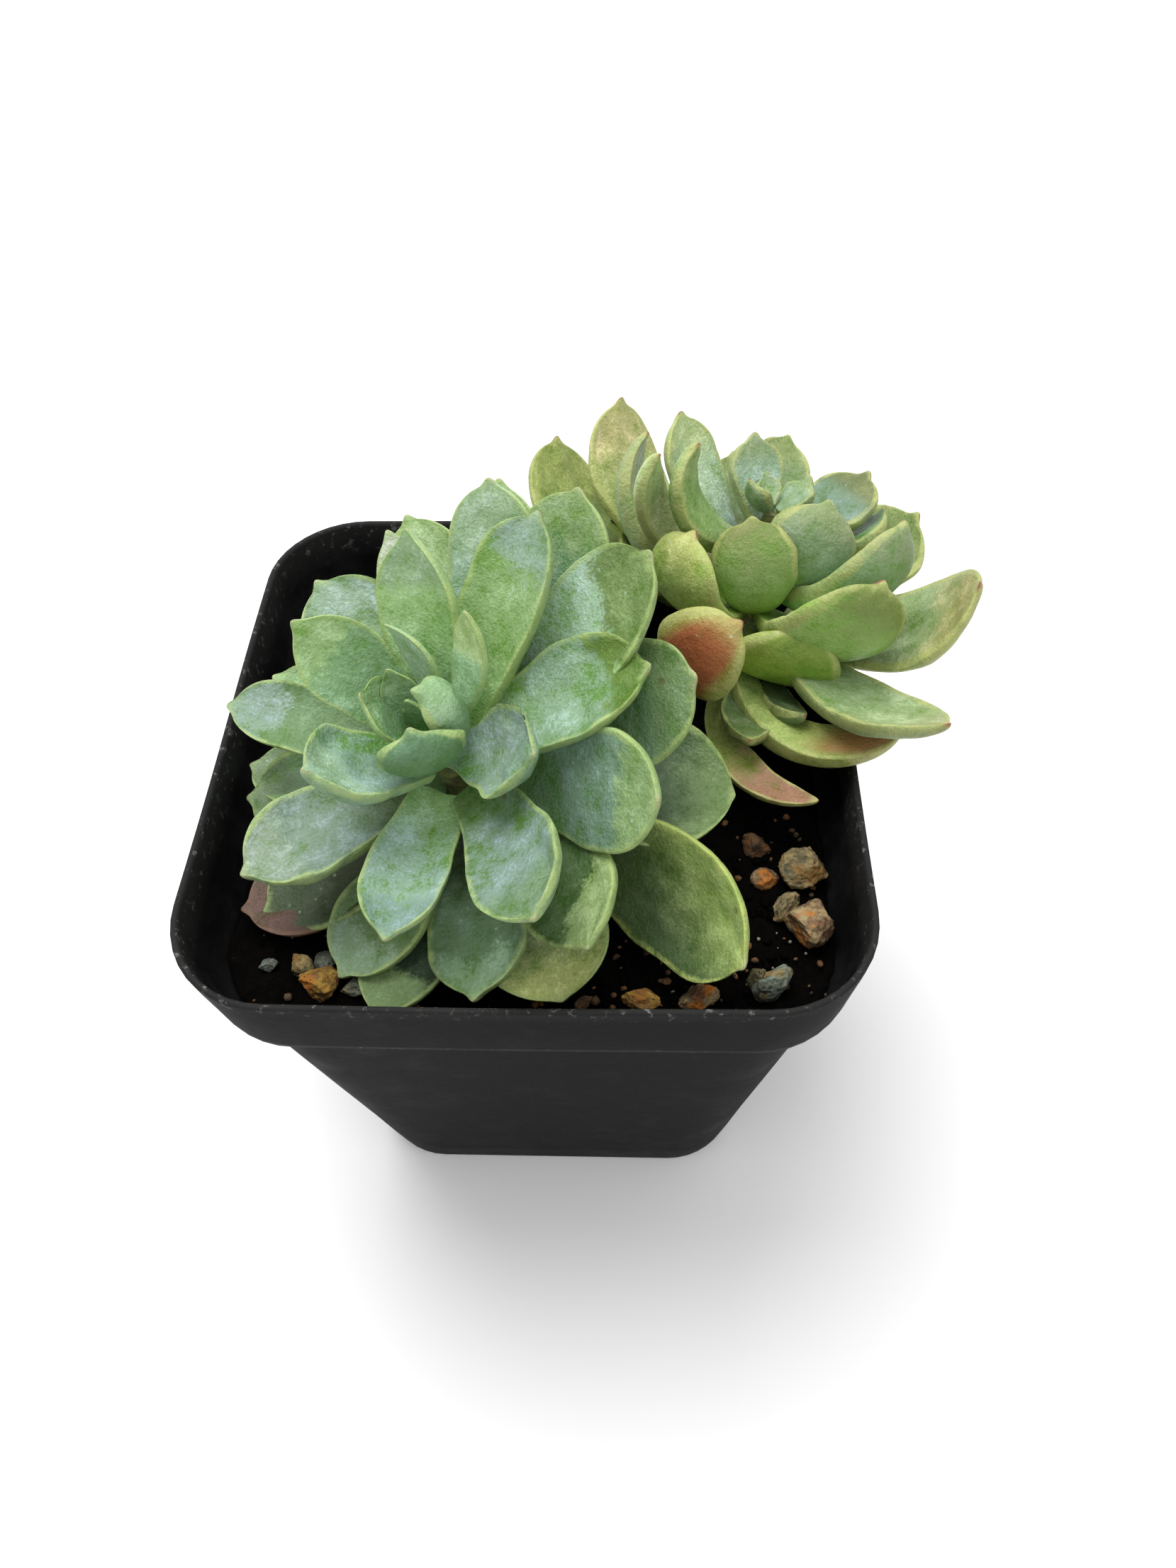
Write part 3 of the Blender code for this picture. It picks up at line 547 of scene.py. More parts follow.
def wax_group():
    """Leaf colouring: foot, middle and tip colours under mottled wax, pale margins, blush and point."""
    group = bpy.data.node_groups.new("leaf_wax", "ShaderNodeTree")
    for name, value in (
            ("Foot", (0.13, 0.25, 0.085, 1)), ("Middle", (0.24, 0.37, 0.28, 1)),
            ("Tip", (0.21, 0.33, 0.10, 1)), ("Margin", (0.36, 0.47, 0.17, 1)),
            ("Blush", (0.35, 0.13, 0.05, 1)), ("Point", (0.42, 0.42, 0.22, 1)), ("Mottle", 0.8),
            ("Tip Place", 0.78), ("Tip Edge", 0.05), ("Side Shift", 0.0), ("Margin Width", 0.8),
            ("Blush Amount", 0.0), ("Blush Place", 0.8), ("Seed", (0, 0, 0))):
        kind = "Float" if isinstance(value, float) else "Color" if len(value) == 4 else "Vector"
        made = group.interface.new_socket(name=name, in_out="INPUT", socket_type="NodeSocket" + kind)
        made.default_value = value
    for name, kind in (("Color", "Color"), ("Roughness", "Float"), ("Relief", "Float")):
        group.interface.new_socket(name=name, in_out="OUTPUT", socket_type="NodeSocket" + kind)
    given = group.nodes.new("NodeGroupInput").outputs
    result = group.nodes.new("NodeGroupOutput").inputs

    def calc(operation, first, second=0.0):
        return math_node(group, operation, first, second)

    def centred(value, amount):
        return calc("MULTIPLY", calc("SUBTRACT", value, 0.5), amount)

    def step(value, low, high):
        made = node(group, "ShaderNodeMapRange", interpolation_type="SMOOTHSTEP")
        group.links.new(value, made.inputs["Value"])
        group.links.new(low, made.inputs["From Min"])
        group.links.new(high, made.inputs["From Max"])
        return made.outputs["Result"]

    where = node(group, "ShaderNodeTexCoord")
    leaf = node(group, "ShaderNodeAttribute", attribute_name="leaf")
    parts = node(group, "ShaderNodeSeparateColor")
    group.links.new(leaf.outputs["Color"], parts.inputs["Color"])
    across, along, above = parts.outputs
    shift = node(group, "ShaderNodeVectorMath", operation="ADD")
    group.links.new(where.outputs["Object"], shift.inputs[0])
    group.links.new(given["Seed"], shift.inputs[1])

    def speckle(scale, detail, rough):
        made = node(group, "ShaderNodeTexNoise", in_Scale=scale, in_Detail=detail, in_Roughness=rough)
        group.links.new(shift.outputs[0], made.inputs["Vector"])
        return made.outputs["Fac"]

    patch = speckle(120.0, 4.0, 0.6)
    cloud = speckle(360.0, 6.0, 0.7)
    stipple = speckle(2400.0, 2.0, 0.6)
    stretched = node(group, "ShaderNodeCombineXYZ")
    group.links.new(calc("MULTIPLY", leaf.outputs["Alpha"], 9.0), stretched.inputs[0])
    group.links.new(calc("MULTIPLY", along, 1.6), stretched.inputs[1])
    fibre_shift = node(group, "ShaderNodeVectorMath", operation="ADD")
    group.links.new(stretched.outputs[0], fibre_shift.inputs[0])
    group.links.new(given["Seed"], fibre_shift.inputs[1])
    fibre = node(group, "ShaderNodeTexNoise", in_Scale=1.0, in_Detail=4.0, in_Roughness=0.55)
    group.links.new(fibre_shift.outputs[0], fibre.inputs["Vector"])
    fibre = fibre.outputs["Fac"]

    # Foot to middle is a slow change, the foot colour partly the leaf's own greener base and partly painted
    # shade near the base; the tip zone has a stippled edge where the wax has rubbed off.
    ragged = calc("ADD", centred(patch, 0.45), calc("ADD", centred(cloud, 0.22), centred(stipple, 0.14)))
    colour = mix(group, band(group, calc("ADD", along, ragged), 0.08, 0.55), given["Foot"], given["Middle"])
    zone = calc("MULTIPLY", centred(leaf.outputs["Alpha"], 1.0), given["Side Shift"])
    zone = calc("ADD", calc("ADD", along, ragged), zone)
    tip_low = calc("SUBTRACT", given["Tip Place"], given["Tip Edge"])
    tip_high = calc("ADD", given["Tip Place"], given["Tip Edge"])
    colour = mix(group, step(zone, tip_low, tip_high), colour, given["Tip"])

    # Wax: brighter, bluer powder in patches; greener and darker where it is thin.
    film = calc("ADD", centred(patch, 1.6), calc("ADD", centred(cloud, 1.5), centred(fibre, 0.25)))
    film = calc("ADD", film, centred(stipple, 1.0))
    for low, high, tint in ((0.0, 0.45, (1.6, 1.48, 1.95, 1)), (0.0, -0.4, (0.5, 0.7, 0.22, 1))):
        toned = node(group, "ShaderNodeMix", data_type="RGBA", blend_type="MULTIPLY")
        group.links.new(calc("MULTIPLY", band(group, film, low, high), given["Mottle"]), toned.inputs[0])
        group.links.new(colour, toned.inputs[6])
        toned.inputs[7].default_value = tint
        colour = toned.outputs[2]
    # Painted shade: each leaf's underside is mixed a fifth of the way toward its foot colour, which is mostly
    # darker.
    under = calc("MULTIPLY", calc("SUBTRACT", 1.0, above), 0.2)
    colour = mix(group, under, colour, given["Foot"])

    # Margins: a translucent yellow-green rim, wider and stronger round the tip.
    widening = band(group, along, 0.7, 1.0, 0.0, 0.05)
    rim_place = calc("ADD", across, calc("ADD", centred(cloud, 0.16), widening))
    rim_low = calc("SUBTRACT", 1.0, calc("MULTIPLY", given["Margin Width"], 0.2))
    rim_high = calc("ADD", rim_low, 0.12)
    tip_rim = band(group, calc("ADD", along, centred(cloud, 0.06)), 0.95, 1.0)
    tip_rim = calc("MULTIPLY", tip_rim, given["Margin Width"])
    margin = calc("MAXIMUM", step(rim_place, rim_low, rim_high), tip_rim)
    margin = calc("MULTIPLY", margin, band(group, cloud, 0.35, 0.6, 0.3, 0.85))
    colour = mix(group, margin, colour, given["Margin"])

    # Blush, pale dust, small brown scars, and the point.
    blush = calc("ABSOLUTE", calc("SUBTRACT", along, given["Blush Place"]))
    blush = band(group, calc("ADD", blush, centred(patch, 0.4)), 0.34, 0.05)
    blush = calc("MULTIPLY", blush, band(group, across, 0.88, 0.45, 0.1, 1.0))
    colour = mix(group, calc("MULTIPLY", blush, given["Blush Amount"]), colour, given["Blush"])
    dots = node(group, "ShaderNodeTexVoronoi", in_Scale=420.0)
    group.links.new(shift.outputs[0], dots.inputs["Vector"])
    dust = calc("MULTIPLY", band(group, dots.outputs["Distance"], 0.15, 0.05), band(group, patch, 0.45, 0.6))
    colour = mix(group, calc("MULTIPLY", dust, 0.45), colour, (0.50, 0.57, 0.46, 1))
    scars = node(group, "ShaderNodeTexVoronoi", in_Scale=75.0)
    group.links.new(shift.outputs[0], scars.inputs["Vector"])
    scar = band(group, scars.outputs["Distance"], 0.055, 0.03, 0.0, 0.6)
    colour = mix(group, scar, colour, (0.13, 0.12, 0.035, 1))
    colour = mix(group, band(group, along, 0.994, 0.9995), colour, given["Point"])

    group.links.new(colour, result["Color"])
    group.links.new(band(group, film, -0.4, 0.5, 0.36, 0.56), result["Roughness"])
    relief = calc("ADD", calc("MULTIPLY", stipple, 0.4), calc("MULTIPLY", cloud, 1.6))
    group.links.new(calc("ADD", relief, calc("MULTIPLY", fibre, 0.5)), result["Relief"])
    return group


leaf_wax = wax_group()
leaf_seed = random.Random(77)


def leaf_skin(name, tones, **values):
    """One leaf's material: the wax group with the leaf's three colours and its own amounts."""
    mat, tree, shader = new_material(name)
    wax = tree.nodes.new("ShaderNodeGroup")
    wax.node_tree = leaf_wax
    wax.inputs["Seed"].default_value = [leaf_seed.uniform(-5, 5) for _ in range(3)]
    values = {**dict(zip(("foot", "middle", "tip"), tones)), **values}
    for key, value in values.items():
        socket = wax.inputs[key.replace("_", " ").title()]
        socket.default_value = (*value, 1) if isinstance(value, tuple) else value
    tree.links.new(wax.outputs["Color"], shader.inputs["Base Color"])
    tree.links.new(wax.outputs["Roughness"], shader.inputs["Roughness"])
    dimple = node(tree, "ShaderNodeBump", in_Strength=0.7, in_Distance=0.0005)
    tree.links.new(wax.outputs["Relief"], dimple.inputs["Height"])
    tree.links.new(dimple.outputs["Normal"], shader.inputs["Normal"])
    shader.inputs["Subsurface Weight"].default_value = 0.12
    shader.inputs["Subsurface Radius"].default_value = (0.6, 1.0, 0.25)
    shader.inputs["Subsurface Scale"].default_value = 0.0015
    shader.inputs["Specular IOR Level"].default_value = 0.35
    return mat


def smooth_step(x):
    x = min(max(x, 0.0), 1.0)
    return x * x * (3.0 - 2.0 * x)


def rounder(x):
    """Sine or cosine pushed outward, so that a leaf's edge is plump and not a knife edge."""
    return math.copysign(abs(x) ** 0.85, x)


def rosette(top, tilt, toward):
    """Frame whose origin is a rosette's growing point and whose Z runs up its leaning axis."""
    hinge = Vector((-math.sin(math.radians(toward)), math.cos(math.radians(toward)), 0.0))
    return Matrix.Translation(Vector(top) * MM) @ Matrix.Rotation(math.radians(tilt), 4, hinge)


# Steps along a leaf, where along it a leaf is widest, how much of its thickness stands above its plane,
# how much of its point turns up, and half the width of the flesh that is drawn out into the point.
SPINE_STEPS = 120
WIDEST = 0.66
ABOVE = 0.2
POINT_UP = 0.2
POINT_HALF = 0.95
INNER_OUT = 0.5
OUTER_OUT = 5.0
OUTER_BELOW = 11.0


def leaf_spine(length, curl, bend):
    """Centre, forward and sideways directions at SPINE_STEPS + 1 places along a leaf."""
    spine = [(Vector((0, 0, 0)), Vector((1, 0, 0)), Vector((0, 1, 0)))]
    for i in range(1, SPINE_STEPS + 1):
        s = i / SPINE_STEPS
        up = math.radians(curl) * s ** 1.4
        swing = math.radians(bend) * s ** 1.3
        ahead = Vector((math.cos(up) * math.cos(swing), math.cos(up) * math.sin(swing), math.sin(up)))
        side = Vector((-math.sin(swing), math.cos(swing), 0))
        spine.append((spine[-1][0] + ahead * (length / SPINE_STEPS), ahead, side))
    return spine


def surface_dents(s, sideways, half, length, wrinkle, dent, crease, shift):
    """Unevenness of a leaf's face: long soft ripples, sharper dents toward the tip, one side fold."""
    ripple = wrinkle * noise.noise(Vector((s * length / 8, sideways * half / 7, 0)) + shift)
    spot = Vector((s * length / 3.4, sideways * half / 2.6, 5)) + shift
    dents = dent * smooth_step((s - 0.45) / 0.3) * noise.noise(spot)
    fold = 0.0
    if crease:
        line = crease + 0.25 * (1 - s) * math.sin(s * 9)
        fold = -0.45 * math.exp(-((sideways - line) / 0.13) ** 2) * smooth_step((s - 0.35) / 0.35)
    return ripple + dents + fold


def grow_leaf(bm, crown, turn, rise, length, width, thick, curl, below, bend, lean, cup, taper, waist,
              point=1.15, wrinkle=0.45, dent=0.42, crease=0.0, wave=0.08, out=None, seed=0):
    """Shapes a ball into a leaf: its pole-to-pole line becomes the leaf's length, in mm."""
    if out is None:
        out = INNER_OUT + (OUTER_OUT - INNER_OUT) * min(max(below, 0.0) / OUTER_BELOW, 1.0)
    spine = leaf_spine(length, curl, bend)
    marks = bm.verts.layers.float_color.get("leaf") or bm.verts.layers.float_color.new("leaf")
    ball = bmesh.ops.create_uvsphere(bm, u_segments=44, v_segments=42, radius=1.0)["verts"]
    shift = Vector((seed * 3.1, seed * 1.7, seed * 0.9))
    for v in ball:
        s = (v.co.z + 1) / 2
        a = math.atan2(v.co.y, v.co.x)
        level, sideways = math.sin(a), math.cos(a)
        spot = s * SPINE_STEPS
        low = min(int(spot), SPINE_STEPS - 1)
        centre = spine[low][0].lerp(spine[low + 1][0], spot - low)
        ahead, side = spine[low + 1][1:]
        normal = ahead.cross(side)
        end = min(max((s - WIDEST) / (1 - WIDEST), 0.0), 1.0)
        start = math.sqrt(1 - (1 - min(s / 0.05, 1.0)) ** 2)
        half = width / 2 * (waist + (1 - waist) * smooth_step(s / WIDEST)) * (1 - end ** 2.2) ** taper * start
        deep = thick * (0.72 + 0.28 * smooth_step(s / 0.35)) * math.sqrt(max(1 - s ** 3.2, 0.0)) * start
        if s > 0.9999:
            v.co = centre + (ahead + normal * POINT_UP) * point
        elif s < 0.0001:
            v.co = centre
        else:
            half *= 1 + wave * noise.noise(Vector((s * 5, math.copysign(3, sideways), seed * 1.3)))
            lift = cup * half * sideways ** 2 + rounder(level) * deep * (ABOVE if level > 0 else 1.0)
            body = min(1.0, 6 * (1 - s)) * min(1.0, 5 * s) * (1 - 0.5 * abs(sideways) ** 4)
            dents = surface_dents(s, sideways, half, length, wrinkle, dent, crease, shift)
            lift += dents * body * (1.0 if level > 0 else -0.6)
            v.co = centre + side * half * rounder(sideways) + normal * lift
            pull = point * math.exp(-(half * sideways / POINT_HALF) ** 2) * smooth_step((s - 0.85) / 0.15)
            v.co += (ahead + normal * POINT_UP) * pull
        v[marks] = (abs(sideways), s, 1.0 if level > -0.02 else 0.0, 0.5 + 0.5 * sideways)
    place = (crown @ Matrix.Scale(MM, 4) @ Matrix.Rotation(math.radians(turn), 4, "Z")
             @ Matrix.Translation((out, 0, -below)) @ Matrix.Rotation(math.radians(-rise), 4, "Y")
             @ Matrix.Rotation(math.radians(lean), 4, "X"))
    bmesh.ops.transform(bm, matrix=place, verts=ball)


def leaf_piece(name, crown, leaves, seed, skin):
    """One piece of one or more leaves, each given as its row of numbers and what is special in its shape."""
    bm = bmesh.new()
    for k, (shape, form) in enumerate(leaves):
        grow_leaf(bm, crown, *shape, seed=seed + k, **form)
    bmesh.ops.recalc_face_normals(bm, faces=bm.faces)
    return make_piece(name, bm, skin)


front_crown = rosette((-13.0, -17.0, 112.0), 20.0, -140.0)

# Each leaf: turn, rise, length, width, thickness, curl, distance below the growing point, bend, roll,
# hollowness, sharpness of the tip and width at the base; the colours of its foot, middle and tip; then
# what is special in its shape and in its colouring.
# Some of these colours carry painted shade where a leaf lies under others, as marked below.
front_leaves = (
    ((-66, 34, 12.5, 12.5, 2.4, 78, -0.8, -4, -12, 0.15, 0.55, 0.5),
     ((0.11, 0.23, 0.1), (0.12, 0.23, 0.09), (0.12, 0.23, 0.11)), {"out": 1.5}, {"margin_width": 0.9}),
    ((73, 40, 18, 7.5, 1.4, 50, 2, 1, -28, 0, 0.65, 0.35),
     ((0.26, 0.4, 0.22), (0.38, 0.55, 0.35), (0.38, 0.55, 0.35)), {}, {}),
    ((33, 38, 22.5, 7, 2, 36, 2.5, 6, 5, 0.1, 0.55, 0.15),
     ((0.28, 0.46, 0.21), (0.29, 0.47, 0.23), (0.38, 0.52, 0.2)), {"dent": 0.3}, {}),
    ((-18, 16, 20, 12.5, 2.6, 30, 3.2, -6, 12, 0.35, 0.6, 0.35),
     ((0.29, 0.46, 0.31), (0.22, 0.32, 0.23), (0.19, 0.29, 0.21)),
     {"wrinkle": 1.3, "dent": 1.4, "wave": 0.12}, {"mottle": 1.0}),
    ((-148, 45, 19, 13.5, 3.6, 18, 4, 5, 0, 0.3, 0.55, 0.55),
     ((0.28, 0.46, 0.26), (0.22, 0.34, 0.25), (0.19, 0.3, 0.17)),
     {"wrinkle": 0.7, "dent": 1.0}, {"mottle": 1.0}),
    ((130, 41, 25, 12, 4.2, 22, 5, 9, -4, 0.25, 0.6, 0.45),
     ((0.22, 0.38, 0.17), (0.21, 0.36, 0.17), (0.29, 0.45, 0.18)), {}, {}),
    ((83, 44, 29.5, 12.5, 4.2, 8, 6, -3, -9, 0.35, 0.75, 0.4),
     ((0.28, 0.46, 0.22), (0.3, 0.47, 0.2), (0.28, 0.42, 0.22)), {}, {"margin_width": 0.8}),
    ((56, 28, 33.5, 14, 4.2, 1, 7, -3, -3, 0.3, 0.5, 0.4),
     ((0.19, 0.34, 0.1), (0.22, 0.35, 0.13), (0.23, 0.34, 0.24)), {"dent": 0.3}, {}),
    ((15, 18, 29, 15, 4.2, -7, 8, -9, -1, 0.4, 0.45, 0.5),
     ((0.29, 0.46, 0.18), (0.21, 0.33, 0.2), (0.11, 0.19, 0.03)),
     {"dent": 0.8, "wave": 0.1}, {"tip_place": 0.8, "tip_edge": 0.03, "mottle": 1.0}),
    ((-51, 22, 34, 14, 4.2, 15, 9, -14, 7, 0.25, 0.6, 0.5),
     ((0.15, 0.26, 0.08), (0.18, 0.27, 0.21), (0.15, 0.24, 0.13)),
     {"dent": 0.7, "crease": 0.55}, {"mottle": 1.0}),
    ((-105, 16, 24.5, 11.5, 4.2, 11, 9, 10, -17, 0.35, 0.6, 0.75),
     ((0.27, 0.46, 0.17), (0.25, 0.38, 0.28), (0.17, 0.27, 0.21)),
     {"dent": 0.4, "crease": 0.7}, {"mottle": 1.0}),
    ((-154, 17, 28, 16, 4.2, 6, 11, 11, 7, 0.35, 0.55, 0.35),
     ((0.06, 0.1, 0.03), (0.17, 0.25, 0.18), (0.2, 0.27, 0.18)),
     {"dent": 1.0, "wave": 0.1}, {"mottle": 1.0}),
    ((155, 16, 32, 11, 4.2, 6, 11.5, 14, 0, 0.4, 0.45, 0.4),
     ((0.18, 0.28, 0.16), (0.14, 0.24, 0.1), (0.22, 0.32, 0.24)), {"dent": 0.5, "wave": 0.08}, {}),
    ((32, 21, 38, 17.5, 4.2, 13, 12.5, -1, 1, 0.25, 0.4, 0.4),
     ((0.32, 0.42, 0.35), (0.37, 0.53, 0.38), (0.15, 0.23, 0.07)),
     {"wave": 0.06}, {"tip_place": 0.74, "tip_edge": 0.03, "side_shift": -0.3}),
    ((121, 21, 32.5, 17.5, 4.2, 16, 13, 4, -2, 0.25, 0.5, 0.4),
     ((0.27, 0.4, 0.27), (0.21, 0.33, 0.17), (0.28, 0.4, 0.28)), {"dent": 0.4, "wave": 0.08}, {}),
    ((-16, 17, 33.5, 17, 4.2, 25, 13.5, -6, 28, 0.1, 0.6, 0.4),
     ((0.17, 0.3, 0.11), (0.18, 0.29, 0.2), (0.23, 0.35, 0.14)), {"point": 0.4, "dent": 0.3}, {}),
    ((92, 18, 36.5, 17, 4.2, 18, 14, 9, -8, 0.2, 0.55, 0.4),
     ((0.34, 0.46, 0.24), (0.35, 0.48, 0.25), (0.33, 0.46, 0.21)), {}, {}),
    ((69, 24, 40, 16.5, 4.2, 31, 15, 4, -1, 0.1, 0.5, 0.4),
     ((0.33, 0.46, 0.31), (0.33, 0.48, 0.33), (0.37, 0.52, 0.31)), {}, {}),
    ((54, 20, 42, 18, 4.2, 32, 16, -2, 4, 0.1, 0.5, 0.4),
     ((0.3, 0.43, 0.23), (0.26, 0.41, 0.26), (0.32, 0.45, 0.21)), {}, {}),
    ((-86, -11, 27, 16, 4.2, 25, 16.5, -3, 4, 0.15, 0.6, 0.45),
     ((0.03, 0.05, 0.02), (0.13, 0.22, 0.11), (0.2, 0.32, 0.17)), {"crease": 0.55}, {"margin_width": 0.9}),
    ((17, 15, 36, 18, 4.2, 29, 17.4, -15, 19, 0.1, 0.4, 0.4),
     ((0.18, 0.28, 0.13), (0.2, 0.33, 0.17), (0.18, 0.28, 0.12)), {}, {}),
    ((-43, 8, 32.5, 15, 4.2, 28, 17, -25, 11, 0.1, 0.7, 0.4),
     ((0.15, 0.25, 0.1), (0.08, 0.14, 0.05), (0.23, 0.33, 0.12)), {"crease": 0.5}, {"side_shift": 0.4}),
    ((-126, -1, 28, 15, 4.2, 7, 18, -1, -1, 0.3, 0.5, 0.4),
     ((0.19, 0.29, 0.15), (0.14, 0.23, 0.09), (0.22, 0.33, 0.19)), {}, {}),
    ((176, 1, 32, 16.5, 4.2, 15, 18, 0, -4, 0.3, 0.5, 0.4),
     ((0.23, 0.38, 0.17), (0.28, 0.42, 0.27), (0.17, 0.25, 0.13)), {}, {}),
    # Painted shade: this leaf lies in the shade of those above it, and its foot and middle colours are
    # darkened for it.
    ((-2, -13, 34, 20.5, 4.2, -3, 18, -4, -1, 0.35, 0.6, 0.4),
     ((0.1, 0.16, 0.06), (0.08, 0.13, 0.07), (0.15, 0.23, 0.08)), {"point": 0.4}, {"tip_edge": 0.15}),
    # Painted shade: this leaf is nearly black all over, the shadow it lies in painted into its colours.
    ((-153, 0, 31.5, 16, 4.2, 10, 18.5, -3, -3, 0.25, 0.5, 0.4),
     ((0.06, 0.08, 0.03), (0.04, 0.06, 0.02), (0.06, 0.09, 0.04)), {}, {}),
    ((-66, -5, 29.5, 20, 4.2, 5, 20.8, -9, -10, 0.25, 0.55, 0.4),
     ((0.36, 0.46, 0.15), (0.24, 0.32, 0.14), (0.49, 0.56, 0.19)),
     {"point": 0.4, "dent": 0.4}, {"tip_edge": 0.15}),
    # Painted shade: its nearly black middle colour stands for the shadow it lies in.
    ((-113, -5, 31, 14.5, 4.2, 19, 19.2, -1, -1, 0.2, 0.65, 0.4),
     ((0.13, 0.19, 0.08), (0.03, 0.06, 0.03), (0.17, 0.26, 0.1)), {}, {}),
    # Painted shade: its dark foot and middle, with the light tip zone shifted onto one side, paint the shade
    # over the other half of the leaf.
    ((-24, -13, 46, 19, 4.2, 52, 20, -8, 38, 0.2, 0.5, 0.3),
     ((0.11, 0.14, 0.04), (0.08, 0.13, 0.05), (0.27, 0.37, 0.11)),
     {"crease": 0.3}, {"mottle": 0.6, "side_shift": 0.8,
      "tip_place": 0.72, "tip_edge": 0.28, "margin": (0.42, 0.5, 0.14)}),
    ((-152, 2.5, 35, 17.5, 3, 17, 21, -10, 8, 0.15, 0.5, 0.4),
     ((0.12, 0.07, 0.04), (0.14, 0.09, 0.05), (0.12, 0.07, 0.05)),
     {"wrinkle": 0.7}, {"margin": (0.2, 0.12, 0.08), "point": (0.14, 0.09, 0.05)}),
)
# The smallest leaves round the growing point, then leaves that show only between the others, each with
# the name of a neighbouring leaf.
front_heart = (
    ((86, 62, 6, 3, 1.4, 24, -1, -4, 2, 0.15, 0.6, 0.4), {}),
    ((156, 66, 12, 10, 1.6, 12, 0, 11, 30, 0.25, 0.5, 0.35), {}),
    ((106, 57, 11, 5.5, 1.8, 16, 0, -4, 6, 0.25, 0.6, 0.4), {}),
    ((2, 52, 14, 8.5, 2.4, 72, 0.3, 0, 0, 0.25, 0.6, 0.45), {"out": 3.0}),
)
front_hidden = (
    ("front_leaf_18", (73, 20, 40.5, 16, 4.2, 20, 15.8, 3, 2, 0.2, 0.55, 0.4),
     ((0.33, 0.46, 0.31), (0.33, 0.48, 0.33), (0.37, 0.52, 0.31))),
    ("front_leaf_17", (101, 21, 36.5, 11.5, 4.2, 22, 17, 1, -3, 0.25, 0.65, 0.4),
     ((0.4, 0.46, 0.33), (0.48, 0.55, 0.39), (0.48, 0.55, 0.39))),
    ("front_leaf_24", (170, 1, 34.5, 13.5, 4.2, 12, 19, -6, 13, 0.3, 0.5, 0.4),
     ((0.23, 0.38, 0.17), (0.28, 0.42, 0.27), (0.17, 0.25, 0.13))),
    ("front_leaf_15", (145, 7, 35, 14, 4.2, 17, 19, 2, -6, 0.3, 0.55, 0.4),
     ((0.26, 0.46, 0.15), (0.26, 0.42, 0.18), (0.26, 0.42, 0.18))),
)
for number, (shape, tones, form, tints) in enumerate(front_leaves, 1):
    name = f"front_leaf_{number:02d}"
    skin = leaf_skin(name + "_skin", tones, **tints)
    plump = leaf_piece(name + "_plump", front_crown, [(shape, form)], number, skin)
    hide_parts(name)
skin = leaf_skin("front_heart_skin", ((0.16, 0.3, 0.12), (0.17, 0.3, 0.14), (0.24, 0.38, 0.18)))
heart_piece = leaf_piece("front_heart_plump", front_crown, front_heart, 40, skin)
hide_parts("front_heart")
for number, (neighbour, shape, tones) in enumerate(front_hidden, 1):
    name = f"front_under_{number}"
    skin = leaf_skin(name + "_skin", tones)
    leaf_piece(name, front_crown, [(shape, {})], 50 + number, skin)


# --- Back rosette -----------------------------------------------------------------------------
# A second, smaller crown that leans away, short of light: its leaves curl up, are greener and more
# olive, and blush brown and pink at their tips.

